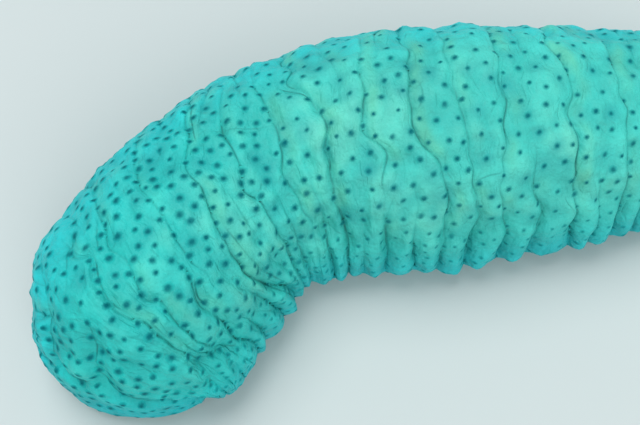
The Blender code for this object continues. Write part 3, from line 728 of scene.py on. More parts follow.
write_map(skin.data, "lie", lie)
write_map(skin.data, "OFBake", lie / lie.max(axis=0) * (1 - 2 * MAP_MARGIN) + MAP_MARGIN)

# The marks that the shaders read: the painted shade line in a crease, the slope behind it, the flanks, how
# high the skin stands (for painted shade and light), which side it is on, and the way to a fold's line and
# how dark its painted shade is.
FLANK_LEVEL, FLANK_BAND = 0.12, 0.30  # sine of the angle round the body
edge_of_body = np.exp(-(((np.sin(angles) - FLANK_LEVEL) / FLANK_BAND) ** 2))
mark_values = {
    "crease": np.clip(dark, 0, 1),
    "slope": np.clip(slope, 0, 1),
    "flank": np.broadcast_to(edge_of_body, along.shape),
    "rise": np.clip(0.5 + standing / RISE_RANGE, 0, 1),
    "far": np.broadcast_to(np.cos(angles), along.shape),
    "away": 1000 * fold_away,
    "line": fold_line_shade,
}
for name, values in mark_values.items():
    write_mark(skin.data, name, values[inner_ring, column_of])


def srgb(red, green, blue):
    """A colour of 0 to 255 as it is seen, as the linear RGBA that a shader takes."""
    seen = [c / 255 for c in (red, green, blue)]
    return tuple(c / 12.92 if c <= 0.04045 else ((c + 0.055) / 1.055) ** 2.4 for c in seen) + (1.0,)


TURQUOISE = srgb(60, 196, 186)
# Mint of the patches, and the colour of the painted light on top and on raised skin
MINT_AND_PAINTED_LIGHT = srgb(102, 204, 184)
FRONT_BLUE = srgb(35, 193, 187)
FAR_BLUE = srgb(38, 200, 205)
# Painted shade: darker, bluer skin low down near the floor
LOW_PAINTED_SHADE = srgb(20, 178, 190)
OCHRE_TINT = srgb(96, 198, 168)
# Painted shade: the dark colour of the lines in the creases and folds
CREASE_PAINTED_SHADE = srgb(22, 108, 104)
HALO_SHADE = srgb(30, 146, 150)
SOLE_PALE = srgb(120, 208, 196)

# Where the colours change, in metres in the part's frame, and how far they do
PATCH_SCALE, OCHRE_SCALE, BREAK_SCALE = 22.0, 38.0, 110.0
REAR_ALONG, REAR_MINT = (0.055, 0.125), 0.65
FRONT_ALONG, FRONT_MINT_LOSS, FRONT_OCHRE_LOSS = (-0.020, -0.105), 0.50, 0.4
# Painted light: between these heights the mint grows towards the top
TOP_PAINTED_LIGHT_HEIGHTS, MINT_MOST = (0.026, 0.060), 0.95
MINT_PATCHES = (0.26, 0.74, 0.18, 0.82)  # from noise to share
MINT_SIDES = (0.50, -0.35, 0.05, 1.0)  # from the far mark to share
# Painted light: more mint on raised skin
RISE_PAINTED_LIGHT = (0.30, 0.80, 0.25, 1.20)
FAR_BLUE_SIDES = (0.0, 0.75, 0.0, 0.9)
# Painted shade low down: the heights between which it grows, and how much there is at most
LOW_PAINTED_SHADE_HEIGHTS, LOW_PAINTED_SHADE_MOST = (0.042, 0.006), 0.75
SOLE_HEIGHTS = (0.0042, 0.0022)
OCHRE_HEIGHTS, OCHRE_PATCHES = (0.035, 0.065), (0.38, 0.62, 0.0, 0.75)
LINE_HEIGHTS, LINE_BREAKS = (0.010, 0.042, 0.50, 1.0), (0.34, 0.60, 0.25, 1.0)
LINE_FADES = (0.65, 0.05)  # millimetres from the middle of a fold's line
# How dark the painted shade in the creases is, and how dark the halos' own colour is
CREASE_DARK, HALO_DARK = 0.72, 0.62
# Painted shade in the hollows and painted light on the swells: from how high the skin stands to tone
RISE_PAINTED_SHADE_AND_LIGHT = (0.15, 0.85, 0.93, 1.07)
# Tones of light and dark that vary over the skin: noise scale, its detail, and from noise to tone
CLOUDS = (48.0, 2.0, (0.3, 0.7, 0.95, 1.04))
MOTTLES = (150.0, 3.0, (0.3, 0.7, 0.94, 1.05))
SPECKS = (1300.0, 1.0, (0.35, 0.65, 0.97, 1.03))
# The fine relief: noise scales and heights. Wrinkles have one scale round the body and one along.
GRAIN_SCALE, GRAIN_HEIGHT = 1100.0, 0.00020
PIT_SCALE, PIT_HEIGHT = 330.0, 0.00118
DIMPLE_SCALE, DIMPLE_HEIGHT = 130.0, 0.0020
LONG_SCALE, LONG_HEIGHT = (330.0, 70.0, 1.0), 0.0010
CROSS_SCALE, CROSS_HEIGHT = (80.0, 250.0, 1.0), 0.00145
HAIRLINE_SCALE, HAIRLINE_DEPTH, HAIRLINE_WIDTH = (34.0, 120.0, 1.0), 0.00030, 0.045
HAIRLINES_SHOW_SCALE, HAIRLINES_SHOW = 60.0, (0.42, 0.60)
WRINKLE_BEND_SCALE, WRINKLE_BEND = 60.0, 0.010
FOLD_CUT_DEPTH, FOLD_CUT_FADES = 0.0004, (0.8, 0.0)
BUMP_STRENGTH = 0.8


def start_group(name, inputs, output, kind):
    """A new shader node group of numbers in and one value out, with its input and output nodes."""
    tree = bpy.data.node_groups.new(name, "ShaderNodeTree")
    for label, value in inputs.items():
        slot = tree.interface.new_socket(label, in_out="INPUT", socket_type="NodeSocketFloat")
        slot.default_value = value
    tree.interface.new_socket(output, in_out="OUTPUT", socket_type=kind)
    return tree, tree.nodes.new("NodeGroupInput"), tree.nodes.new("NodeGroupOutput")


def put(tree, kind, settings=None, **inputs):
    """Adds a node. An output socket is linked to its input, by name or number, and a value is set."""
    node = tree.nodes.new("ShaderNode" + kind)
    for field, value in (settings or {}).items():
        setattr(node, field, value)
    for label, value in inputs.items():
        numbered = label[0] == "i" and label[1:].isdigit()
        slot = node.inputs[int(label[1:]) if numbered else label]
        if isinstance(value, bpy.types.NodeSocket):
            tree.links.new(value, slot)
        else:
            slot.default_value = value
    return node


def math_node(tree, operation, first, second=0.0, clamp=False, **more):
    settings = {"operation": operation, "use_clamp": clamp}
    return put(tree, "Math", settings, i0=first, i1=second, **more).outputs[0]


def times(tree, first, *others):
    """The product of all the values."""
    for other in others:
        first = math_node(tree, "MULTIPLY", first, other)
    return first


def mixed(tree, share, first, second):
    """A colour between two, by share."""
    node = put(tree, "Mix", {"data_type": "RGBA"}, i0=share, i6=first, i7=second)
    return node.outputs[2]


def spread(tree, value, low_end, high_end, to_low=0.0, to_high=1.0):
    """The value's range between two ends, stretched to another, smooth and clamped."""
    ends = {"i1": low_end, "i2": high_end, "i3": to_low, "i4": to_high}
    return put(tree, "MapRange", {"interpolation_type": "SMOOTHSTEP"}, i0=value, **ends).outputs[0]


def noise_at(tree, place, scale, detail=2.0):
    """Smooth noise of about 0 to 1, with its grains about 1/scale metres wide."""
    return put(tree, "TexNoise", None, Vector=place, Scale=scale, Detail=detail).outputs[0]


def make_skin_colour():
    """The body's colour: turquoise with mint patches, greener on the near side and bluer on the far side,
    with painted light on top and on raised skin, and painted shade low down, in hollows and in the creases
    and folds.
    """
    inputs = {"Crease": 0.0, "Slope": 0.0, "Halo": 0.0, "Far": 0.0, "Away": 0.0, "Line": 0.0, "Rise": 0.5}
    tree, given, result = start_group("skin_colour", inputs, "Color", "NodeSocketColor")
    given = given.outputs
    place = put(tree, "TexCoord").outputs["Object"]
    parts_of_place = put(tree, "SeparateXYZ", None, Vector=place).outputs
    height = parts_of_place["Z"]
    rear = spread(tree, parts_of_place["X"], *REAR_ALONG, 1.0, REAR_MINT)
    forward = spread(tree, parts_of_place["X"], *FRONT_ALONG)

    # Mint lies in patches over the turquoise, on top and on the near side. It is also painted light: it
    # grows with height and on raised skin, where the light from above falls.
    patches = spread(tree, noise_at(tree, place, PATCH_SCALE, 3.0), *MINT_PATCHES)
    near_side = spread(tree, given["Far"], *MINT_SIDES)
    raised = spread(tree, given["Rise"], *RISE_PAINTED_LIGHT)
    behind_front = math_node(tree, "MULTIPLY_ADD", forward, -FRONT_MINT_LOSS, i2=MINT_MOST)
    mint_and_painted_light = times(tree, spread(tree, height, *TOP_PAINTED_LIGHT_HEIGHTS), patches, times(tree, near_side, rear))
    mint_and_painted_light = times(tree, mint_and_painted_light, raised, behind_front)
    colour = mixed(tree, forward, TURQUOISE, FRONT_BLUE)
    colour = mixed(tree, spread(tree, given["Far"], *FAR_BLUE_SIDES), colour, FAR_BLUE)
    colour = mixed(tree, mint_and_painted_light, colour, MINT_AND_PAINTED_LIGHT)
    # Low down the skin is painted darker and bluer: painted shade near the floor.
    low_painted_shade = times(tree, spread(tree, height, *LOW_PAINTED_SHADE_HEIGHTS), LOW_PAINTED_SHADE_MOST)
    colour = mixed(tree, low_painted_shade, colour, LOW_PAINTED_SHADE)
    colour = mixed(tree, spread(tree, height, *SOLE_HEIGHTS), colour, SOLE_PALE)

    # The slopes behind the creases of the back are a little yellower.
    tinted = spread(tree, noise_at(tree, place, OCHRE_SCALE, 2.0), *OCHRE_PATCHES)
    behind_front = math_node(tree, "MULTIPLY_ADD", forward, -FRONT_OCHRE_LOSS, i2=1.0)
    on_back = spread(tree, height, *OCHRE_HEIGHTS)
    tinted = times(tree, tinted, given["Slope"], on_back, behind_front)
    colour = mixed(tree, tinted, colour, OCHRE_TINT)

    mottle, speck, cloud = (
        spread(tree, noise_at(tree, place, scale, detail), *tones)
        for scale, detail, tones in (MOTTLES, SPECKS, CLOUDS)
    )
    # The tone is random, times painted shade in the hollows and painted light on the swells.
    tone = times(tree, mottle, speck, cloud, spread(tree, given["Rise"], *RISE_PAINTED_SHADE_AND_LIGHT))
    colour = put(tree, "VectorMath", {"operation": "SCALE"}, Vector=colour, Scale=tone).outputs[0]
    colour = mixed(tree, times(tree, given["Halo"], HALO_DARK), colour, HALO_SHADE)

    # The painted shade in the creases and folds, a dark line, is broken here and there, and paler low
    # down.
    from_line = math_node(tree, "ABSOLUTE", given["Away"])
    fold_line_shade = times(tree, spread(tree, from_line, *LINE_FADES), given["Line"])
    lines = math_node(tree, "MAXIMUM", fold_line_shade, times(tree, given["Crease"], CREASE_DARK))
    broken = spread(tree, noise_at(tree, place, BREAK_SCALE, 2.0), *LINE_BREAKS)
    lines = times(tree, lines, spread(tree, height, *LINE_HEIGHTS))
    lines = math_node(tree, "MULTIPLY", lines, broken, True)
    colour = mixed(tree, lines, colour, CREASE_PAINTED_SHADE)
    tree.links.new(colour, result.inputs["Color"])
    return tree


def make_skin_grain():
    """The fine relief of the skin: chalky grains and shallow pits, in metres."""
    tree, _, result = start_group("skin_grain", {}, "Height", "NodeSocketFloat")
    place = put(tree, "TexCoord").outputs["Object"]
    grains = times(tree, noise_at(tree, place, GRAIN_SCALE, 2.0), GRAIN_HEIGHT)
    pits = times(tree, noise_at(tree, place, PIT_SCALE, 2.0), PIT_HEIGHT)
    tree.links.new(math_node(tree, "ADD", grains, pits), result.inputs["Height"])
    return tree


def make_skin_wrinkles():
    """Fine wrinkles, along the body on its flanks and along the pleats elsewhere, in metres."""
    inputs = {"Flank": 0.0, "Away": 0.0, "Line": 0.0}
    tree, given, result = start_group("skin_wrinkles", inputs, "Height", "NodeSocketFloat")
    given = given.outputs
    lie_here = put(tree, "UVMap", {"uv_map": "lie"}).outputs["UV"]
    swirl = {"Scale": WRINKLE_BEND_SCALE, "Detail": 1.0}
    bent = put(tree, "TexNoise", None, Vector=lie_here, **swirl).outputs["Color"]
    bent = put(tree, "VectorMath", {"operation": "SCALE"}, Vector=bent, Scale=WRINKLE_BEND).outputs[0]
    bent = put(tree, "VectorMath", {"operation": "ADD"}, i0=lie_here, i1=bent).outputs[0]
    lengthwise, crosswise, drawn_out = (
        put(tree, "Mapping", None, Vector=bent, Scale=scale).outputs[0]
        for scale in (LONG_SCALE, CROSS_SCALE, HAIRLINE_SCALE)
    )
    long_ones = times(tree, noise_at(tree, lengthwise, 1.0, 2.0), LONG_HEIGHT, given["Flank"])
    cross_ones = times(tree, noise_at(tree, crosswise, 1.0, 3.0), CROSS_HEIGHT)
    dimples = times(tree, noise_at(tree, lie_here, DIMPLE_SCALE, 1.0), DIMPLE_HEIGHT)
    height = math_node(tree, "ADD", math_node(tree, "ADD", long_ones, cross_ones), dimples)

    # Hairlines run where the noise passes its middle, and show only in places.
    hairlines = math_node(tree, "SUBTRACT", noise_at(tree, drawn_out, 1.0, 2.0), 0.5)
    hairlines = spread(tree, math_node(tree, "ABSOLUTE", hairlines), 0.0, HAIRLINE_WIDTH, 1.0, 0.0)
    shown = spread(tree, noise_at(tree, lie_here, HAIRLINES_SHOW_SCALE, 1.0), *HAIRLINES_SHOW)
    height = math_node(tree, "SUBTRACT", height, times(tree, hairlines, shown, HAIRLINE_DEPTH))
    from_line = math_node(tree, "ABSOLUTE", given["Away"])
    cut = times(tree, spread(tree, from_line, *FOLD_CUT_FADES), given["Line"], FOLD_CUT_DEPTH)
    tree.links.new(math_node(tree, "SUBTRACT", height, cut), result.inputs["Height"])
    return tree


SKIN_COLOUR = make_skin_colour()
SKIN_GRAIN = make_skin_grain()
SKIN_WRINKLES = make_skin_wrinkles()


def use_group(tree, group, **inputs):
    return put(tree, "Group", {"node_tree": group}, **inputs).outputs[0]


def mark_node(tree, name):
    return put(tree, "Attribute", {"attribute_name": name}).outputs["Fac"]


def new_material(name, roughness):
    made = bpy.data.materials.new(name)
    made.use_nodes = True
    shader = made.node_tree.nodes["Principled BSDF"]
    shader.inputs["Roughness"].default_value = roughness
    return made, made.node_tree, shader


def bumped(tree, shader, height, strength=BUMP_STRENGTH):
    bump = put(tree, "Bump", None, Height=height, Strength=strength, Distance=1.0)
    tree.links.new(bump.outputs["Normal"], shader.inputs["Normal"])


skin_material, tree, shader = new_material("body_wall", 0.55)
shader.inputs["Specular IOR Level"].default_value = 0.22
shader.inputs["Subsurface Weight"].default_value = 0.06
shader.inputs["Subsurface Radius"].default_value = (0.8, 1.0, 1.0)
shader.inputs["Subsurface Scale"].default_value = 0.004
SKIN_MARKS = ("Crease", "Slope", "Halo", "Far", "Away", "Line", "Rise")
read_marks = {label: mark_node(tree, label.lower()) for label in SKIN_MARKS}
tree.links.new(use_group(tree, SKIN_COLOUR, **read_marks), shader.inputs["Base Color"])
fold_marks = {label: read_marks[label] for label in ("Away", "Line")}
wrinkles = use_group(tree, SKIN_WRINKLES, Flank=mark_node(tree, "flank"), **fold_marks)
height = math_node(tree, "ADD", use_group(tree, SKIN_GRAIN), wrinkles)
bumped(tree, shader, height)
skin.data.materials.append(skin_material)
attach(skin, "root")
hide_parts("head_end", "trunk_front", "trunk_middle", "trunk_rear", "tail_end")


# The papillae
# Small blunt warts all over the back, each with a dark brown-black tip that shades out into the
# skin. They are thickest and smallest along the edges, and end above the sole.

PAPILLA_SEED = 5
TRIES = 30000
CROWN_SPACING = 0.0093
EDGE_SPACING = 0.0070
SPACING_VARIES = (0.60, 1.0)
FRONT_CLOSER = 0.85  # of the spacing in front of the bend
BACK_WIDER = 1.15  # and behind it
CHANGES_FROM, CHANGES_OVER = 0.085, 0.07  # where the front's spacing and size go over
CROWN_RADIUS = 0.0022  # where the dark has faded out
EDGE_RADIUS = 0.0016
RADIUS_VARIES = (0.78, 1.2)
FRONT_LARGER, BACK_SMALLER = 1.10, 0.97
STRETCH = (1.0, 1.22)
WOBBLE = 0.06
PAPILLA_HEIGHT = 0.14  # of its radius
PAPILLA_SIDES = 8
PAPILLA_RINGS = ((0.24, 0.94), (0.43, 0.66), (0.67, 0.25), (1.0, 0.0))  # radius and darkness
EDGE_PALER = 0.35  # how much paler the tips are at the edges
PAPILLA_ROOT = 0.00004
RAY_START, RAY_LENGTH = 0.005, 0.012
HALO_RADIUS, HALO_RADIUS_VARIES = 0.0062, (0.75, 1.3)
HALO_RARE = 2.2  # the higher, the fewer papillae have a strong halo
HALO_EDGE_LOSS = 0.6
HALO_FALL = 2.2
LOWEST_PAPILLA = -14  # degrees below the widest place
PAST_LIP = 0.002  # how far the first papillae lie past the front's edge
LAST_PAPILLA = 0.92  # share of the rear cap
MAP_SHARE = 0.45  # of its square in the map that a papilla reaches from the middle
NEAREST = 1e-5  # keeps a point that lies on a corner from dividing by nothing
DOT_DARK = srgb(0, 104, 112)
DOT_SCALE, DOT_UNEVEN = 700.0, (0.2, 0.8, 0.82, 1.12)

skin_points = read(skin.data.vertices, "co", 3)
skin_tree = BVHTree.FromPolygons(
    [Vector(p) for p in skin_points], [tuple(face.vertices) for face in skin.data.polygons]
)


def by_place(front, behind, station):
    """A value that goes over from the front's to that behind the bend."""
    return front + (behind - front) * ease((station - CHANGES_FROM) / CHANGES_OVER)


def scatter_papillae():
    """Rings and columns on the back, kept apart, with the share of the edge there, and the places."""
    draws = np.random.default_rng(PAPILLA_SEED)
    corner = points[:-1, :-1]
    area = np.linalg.norm(np.cross(points[1:, :-1] - corner, points[:-1, 1:] - corner), axis=-1)
    degrees_round = np.degrees(angles[:-1])
    over_back = (degrees_round > LOWEST_PAPILLA) & (degrees_round < 180 - LOWEST_PAPILLA)
    behind_lip = along[:-1, :-1] > FIRST_STATION - FRONT_ARC - PAST_LIP
    before_vent = along[:-1, :-1] < LAST_STATION + LAST_PAPILLA * REAR_ARC
    weight = area * over_back[None, :] * behind_lip * before_vent
    low_here = edge_of_body[None, :-1] * np.ones_like(weight)
    weight = weight * (1 + low_here)
    picks = draws.choice(weight.size, TRIES, p=(weight / weight.sum()).ravel())
    kept, places, gaps = [], np.empty((0, 3)), np.empty(0)
    for pick in picks:
        ring, column = divmod(pick, weight.shape[1])
        here = points[ring, column]
        share = low_here[ring, column]
        gap = (CROWN_SPACING + (EDGE_SPACING - CROWN_SPACING) * share) * draws.uniform(*SPACING_VARIES)
        gap *= by_place(FRONT_CLOSER, BACK_WIDER, along[ring, column])
        if len(places) and np.min(np.linalg.norm(places - here, axis=1) / np.minimum(gaps, gap)) < 1:
            continue
        kept.append((ring, column, share))
        places = np.vstack([places, here])
        gaps = np.append(gaps, gap)
    return kept, places


papillae, papilla_places = scatter_papillae()
draws = np.random.default_rng(PAPILLA_SEED + 1)

# Round some papillae the skin itself is shaded.
halo = np.zeros(len(skin_points))
for (ring, column, share), here in zip(papillae, papilla_places):
    strong = draws.uniform(0.0, 1.0) ** HALO_RARE * (1 - HALO_EDGE_LOSS * share)
    reach = HALO_RADIUS * draws.uniform(*HALO_RADIUS_VARIES)
    distance = np.linalg.norm(skin_points - here, axis=1)
    halo = np.maximum(halo, strong * np.exp(-((distance / reach) ** 2) * HALO_FALL))
write_mark(skin.data, "halo", halo)

dome_points, dome_faces, dome_spot, dome_map = [], [], [], []
faces_beneath = []
cells = math.ceil(math.sqrt(len(papillae)))
dome_rings = [(0.0, 1.0)] + [ring for ring in PAPILLA_RINGS for _ in range(PAPILLA_SIDES)]
for count, ((ring, column, share), here) in enumerate(zip(papillae, papilla_places)):
    size = (CROWN_RADIUS + (EDGE_RADIUS - CROWN_RADIUS) * share) * draws.uniform(*RADIUS_VARIES)
    size *= by_place(FRONT_LARGER, BACK_SMALLER, along[ring, column])
    stretch = draws.uniform(*STRETCH)
    turn = draws.uniform(0, math.pi)
    wobble = 1 + draws.normal(0, WOBBLE, len(dome_rings))
    normal = Vector(normals[ring, column])
    side = normal.orthogonal().normalized()
    other = normal.cross(side)
    face = 0
    first = len(dome_points)
    map_x, map_y = count % cells + 0.5, count // cells + 0.5
    for k, (radius, darkness) in enumerate(dome_rings):
        angle = turn + math.tau * ((k - 1) % PAPILLA_SIDES) / PAPILLA_SIDES
        reach = radius * size * wobble[k]
        flat = side * (math.cos(angle) * reach * stretch) + other * (math.sin(angle) * reach)
        above = Vector(here) + flat + normal * RAY_START
        hit, _, hit_face, _ = skin_tree.ray_cast(above, -normal, RAY_LENGTH)
        if hit is None:
            hit, hit_face = Vector(here) + flat, face
        face = hit_face
        tall = PAPILLA_HEIGHT * size * (1 - radius ** 2) ** 2 - PAPILLA_ROOT
        dome_points.append(hit + normal * tall)
        dome_spot.append(darkness * (1 - EDGE_PALER * share))
        faces_beneath.append(face)
        map_reach = MAP_SHARE * radius
        map_place = (map_x + map_reach * math.cos(angle), map_y + map_reach * math.sin(angle))
        dome_map.append((map_place[0] / cells, map_place[1] / cells))
    for k in range(PAPILLA_SIDES):
        after = (k + 1) % PAPILLA_SIDES
        dome_faces.append((first, first + 1 + k, first + 1 + after))
        for r in range(len(PAPILLA_RINGS) - 1):
            inner, outer = first + 1 + r * PAPILLA_SIDES, first + 1 + (r + 1) * PAPILLA_SIDES
            dome_faces.append((inner + k, outer + k, outer + after, inner + after))

mesh = bpy.data.meshes.new("papillae")
mesh.from_pydata(dome_points, [], dome_faces)
papillae_object = bpy.data.objects.new("papillae", mesh)
bpy.context.scene.collection.objects.link(papillae_object)
mesh.shade_smooth()
write_mark(mesh, "spot", dome_spot)

# Each point of a papilla takes the marks of the skin below it, weighed by nearness. A face with
# three corners counts its last one twice.
corners = [tuple(face.vertices) for face in skin.data.polygons]
corners = [face + face[-1:] * (4 - len(face)) for face in corners]
beneath = np.array([corners[face] for face in faces_beneath])
away_from = np.linalg.norm(skin_points[beneath] - np.array(dome_points)[:, None], axis=-1)
nearness = 1 / (NEAREST + away_from)
nearness /= nearness.sum(axis=1, keepdims=True)
for label in SKIN_MARKS:
    values = read(skin.data.attributes[label.lower()].data, "value", 1, np.float32)
    write_mark(mesh, label.lower(), (values[beneath] * nearness).sum(axis=1))
corner_vertex = read(mesh.loops, "vertex_index", 1, np.int32)
write_map(mesh, "OFBake", np.array(dome_map)[corner_vertex])

papilla_material, tree, shader = new_material("papillae", 0.62)
shader.inputs["Specular IOR Level"].default_value = 0.06
colour = use_group(tree, SKIN_COLOUR, **{label: mark_node(tree, label.lower()) for label in SKIN_MARKS})
uneven = noise_at(tree, put(tree, "TexCoord").outputs["Object"], DOT_SCALE, 2.0)
uneven = spread(tree, uneven, *DOT_UNEVEN)
spot = math_node(tree, "MULTIPLY", mark_node(tree, "spot"), uneven, True)
tree.links.new(mixed(tree, spot, colour, DOT_DARK), shader.inputs["Base Color"])
bumped(tree, shader, use_group(tree, SKIN_GRAIN))
mesh.materials.append(papilla_material)
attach(papillae_object, "root")


# The tube feet
# Soft little suckers in three bands under the sole, on which the animal creeps and holds on.
# Each is a short stalk with a flat disc at its end, and the discs all stand on the floor.

FOOT_RADIUS = 0.00095
FOOT_SPACING = 0.0042
FOOT_BANDS = (-0.62, -0.52, -0.42, -0.10, 0.0, 0.10, 0.42, 0.52, 0.62)  # shares of the half width
FOOT_ROOT = 0.0006  # how far it reaches into the sole
FOOT_HEIGHT = SOLE_LIFT + FOOT_ROOT
DISC_HEIGHT, STALK_START = 0.0005, 0.0011
STALK_SHARE, ROOT_SHARE = 0.62, 0.8  # of the disc's radius
FOOT_SEED = 21
FEET_FROM, FEET_SHORT = 0.006, 0.010  # kept free behind the first station, and in all
FOOT_STRAY_ALONG = 0.2  # of the spacing
FOOT_STRAY_ASIDE = 0.02  # of the half width
FOOT_VARIES = (0.8, 1.2)
DISC_GREEN, STALK_PALE, FOOT_SPECK_DARK = srgb(64, 150, 140), srgb(128, 205, 190), srgb(40, 128, 124)
DISC_COLOUR_ENDS = (0.0004, 0.0012)  # height where the disc's colour ends and the stalk's begins
FOOT_SPECK_SCALE, FOOT_SPECKS = 900.0, (0.4, 0.7, 0.0, 0.35)
FOOT_GRAIN_SCALE, FOOT_GRAIN_HEIGHT = 1500.0, 0.00015

bpy.ops.object.select_all(action="DESELECT")
middle_height = (0, 0, FOOT_HEIGHT / 2)
bpy.ops.mesh.primitive_cylinder_add(
    vertices=8, radius=FOOT_RADIUS, depth=FOOT_HEIGHT, location=middle_height
)
foot = bpy.context.object
bpy.ops.object.transform_apply(location=True, rotation=False, scale=False)
bpy.ops.object.mode_set(mode="EDIT")
for cut in (DISC_HEIGHT, STALK_START):
    bpy.ops.mesh.select_all(action="SELECT")
    bpy.ops.mesh.bisect(plane_co=(0, 0, cut), plane_no=(0, 0, 1))
bpy.ops.object.mode_set(mode="OBJECT")
for vertex in foot.data.vertices:
    if vertex.co.z > (STALK_START + FOOT_HEIGHT) / 2:
        narrowed = ROOT_SHARE
    elif vertex.co.z > (DISC_HEIGHT + STALK_START) / 2:
        narrowed = STALK_SHARE
    else:
        narrowed = 1.0
    vertex.co.x *= narrowed
    vertex.co.y *= narrowed


def copies_as_one(name, model, places):
    """One mesh with a copy of the model's mesh at each matrix. The model is then removed."""
    base = np.hstack([read(model.data.vertices, "co", 3), np.ones((len(model.data.vertices), 1))])
    faces = [tuple(face.vertices) for face in model.data.polygons]
    all_points = np.vstack([(base @ np.array(place).T)[:, :3] for place in places])
    all_faces = [tuple(v + k * len(base) for v in face) for k in range(len(places)) for face in faces]
    made = bpy.data.meshes.new(name)
    made.from_pydata(all_points.tolist(), [], all_faces)
    joined = bpy.data.objects.new(name, made)
    bpy.context.scene.collection.objects.link(joined)
    bpy.data.objects.remove(model)
    made.shade_smooth()
    return joined


foot_draws = random.Random(FOOT_SEED)
foot_places = []
row_count = int((LAST_STATION - FIRST_STATION - FEET_SHORT) / FOOT_SPACING)
for row in range(row_count):
    for k, band in enumerate(FOOT_BANDS):
        staggered = 0.5 * (k % 2)
        step = row + staggered + foot_draws.uniform(-FOOT_STRAY_ALONG, FOOT_STRAY_ALONG)
        station = FIRST_STATION + FEET_FROM + FOOT_SPACING * step
        x, y, heading = (float(value) for value in on_spine(station))
        aside = foot_draws.uniform(-FOOT_STRAY_ASIDE, FOOT_STRAY_ASIDE)
        side = float(half_width(station)) * (band + aside)
        wide = foot_draws.uniform(*FOOT_VARIES)
        spot = (x - math.sin(heading) * side, y + math.cos(heading) * side, 0)
        foot_places.append(Matrix.Translation(spot) @ Matrix.Diagonal((wide, wide, 1, 1)))
tube_feet = copies_as_one("tube_feet", foot, foot_places)

foot_material, tree, shader = new_material("tube_feet", 0.45)
place = put(tree, "TexCoord").outputs["Object"]
level = put(tree, "SeparateXYZ", None, Vector=place).outputs["Z"]
colour = mixed(tree, spread(tree, level, *DISC_COLOUR_ENDS), DISC_GREEN, STALK_PALE)
speckled = spread(tree, noise_at(tree, place, FOOT_SPECK_SCALE), *FOOT_SPECKS)
colour = mixed(tree, speckled, colour, FOOT_SPECK_DARK)
tree.links.new(colour, shader.inputs["Base Color"])
bumped(tree, shader, times(tree, noise_at(tree, place, FOOT_GRAIN_SCALE), FOOT_GRAIN_HEIGHT))
tube_feet.data.materials.append(foot_material)
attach(tube_feet, "root")


# The feeding tentacles
# Twenty stubby stalks in two circles round the mouth, drawn most of the way in. Each ends in a
# soft shield edged with knobs, which wipes up food and carries it to the mouth.

TENTACLE_RINGS = ((10, 0.0098, 0.0052), (10, 0.0052, 0.0078))  # how many, circle, length
ROOT_CIRCLE = 0.8  # of that circle's radius
ROOT_DEPTH = 0.002  # below the top of the crown's box
SHIELD_RADIUS = 0.0021
SHIELD_LOBES, LOBE_HEIGHT = 7, 0.20
SHIELD_FLATNESS, SHIELD_DISH, SHIELD_DROP = 0.45, 0.35, 0.05  # of its radius
STALK_FROM = 0.15  # height on the ball that the tentacle is made from
STALK_RADIUS = 0.0010
STALK_FLARE = 0.9  # how much wider it is at the shield
STALK_TIP, STALK_TAPER = 0.02, 4  # share of its radius at the root, and how soon it widens
TENTACLE_SEED = 8
TENTACLE_LEAN, LEAN_VARIES = 0.16, (0.4, 1.2)  # radians, towards the middle
TENTACLE_VARIES = (0.88, 1.06)
KNOB_DARK, KNOB_PALE = srgb(38, 112, 98), srgb(96, 178, 150)
KNOB_SCALE, KNOB_ENDS, KNOB_HEIGHT = 1200.0, (0.35, 0.65), 0.0005
crown_low, crown_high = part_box("tentacle_crown")
crown_middle = (crown_low + crown_high) / 2

bpy.ops.object.select_all(action="DESELECT")
bpy.ops.mesh.primitive_uv_sphere_add(segments=28, ring_count=14, radius=1.0)
tentacle = bpy.context.object
for vertex in tentacle.data.vertices:
    direction = math.atan2(vertex.co.y, vertex.co.x)
    outward = math.hypot(vertex.co.x, vertex.co.y)
    if vertex.co.z > STALK_FROM:
        rise = (vertex.co.z - STALK_FROM) / (1 - STALK_FROM)
        radius = STALK_RADIUS * (1 + STALK_FLARE * (1 - rise) ** 3)
        tapered = min(1.0, STALK_TAPER * (1 - rise) + STALK_TIP)
        vertex.co.x = math.cos(direction) * radius * tapered
        vertex.co.y = math.sin(direction) * radius * tapered
        vertex.co.z = rise
    else:
        lobe = 1 + LOBE_HEIGHT * math.cos(SHIELD_LOBES * direction) * outward ** 3
        vertex.co.x *= SHIELD_RADIUS * lobe
        vertex.co.y *= SHIELD_RADIUS * lobe
        dish = SHIELD_DISH * (1 - outward ** 2)
        vertex.co.z = (vertex.co.z * SHIELD_FLATNESS + dish - SHIELD_DROP) * SHIELD_RADIUS
tentacle_draws = random.Random(TENTACLE_SEED)
tentacle_places = []
for circle, (many, around_mouth, long) in enumerate(TENTACLE_RINGS):
    for k in range(many):
        turn = math.tau * (k + 0.5 * circle) / many
        root = Vector((crown_middle.x, crown_middle.y, crown_high.z - ROOT_DEPTH))
        root += Vector((math.cos(turn), math.sin(turn), 0)) * around_mouth * ROOT_CIRCLE
        leaning_axis = Vector((-math.sin(turn), math.cos(turn), 0))
        lean = Matrix.Rotation(TENTACLE_LEAN * tentacle_draws.uniform(*LEAN_VARIES), 4, leaning_axis)
        spin = Matrix.Rotation(tentacle_draws.uniform(0, math.tau), 4, "Z")
        grow = tentacle_draws.uniform(*TENTACLE_VARIES)
        grown = Matrix.Diagonal((grow, grow, grow, 1)) @ Matrix.Translation((0, 0, -long))
        tentacle_places.append(Matrix.Translation(root) @ lean @ spin @ grown)
# The stalks are still one unit high, and are brought to the length of the outer tentacles.
model_points = read(tentacle.data.vertices, "co", 3)
stalk_point = model_points[:, 2] > SHIELD_RADIUS
model_points[stalk_point, 2] *= TENTACLE_RINGS[0][2]
tentacle.data.vertices.foreach_set("co", model_points.ravel())
tentacles = copies_as_one("tentacles", tentacle, tentacle_places)

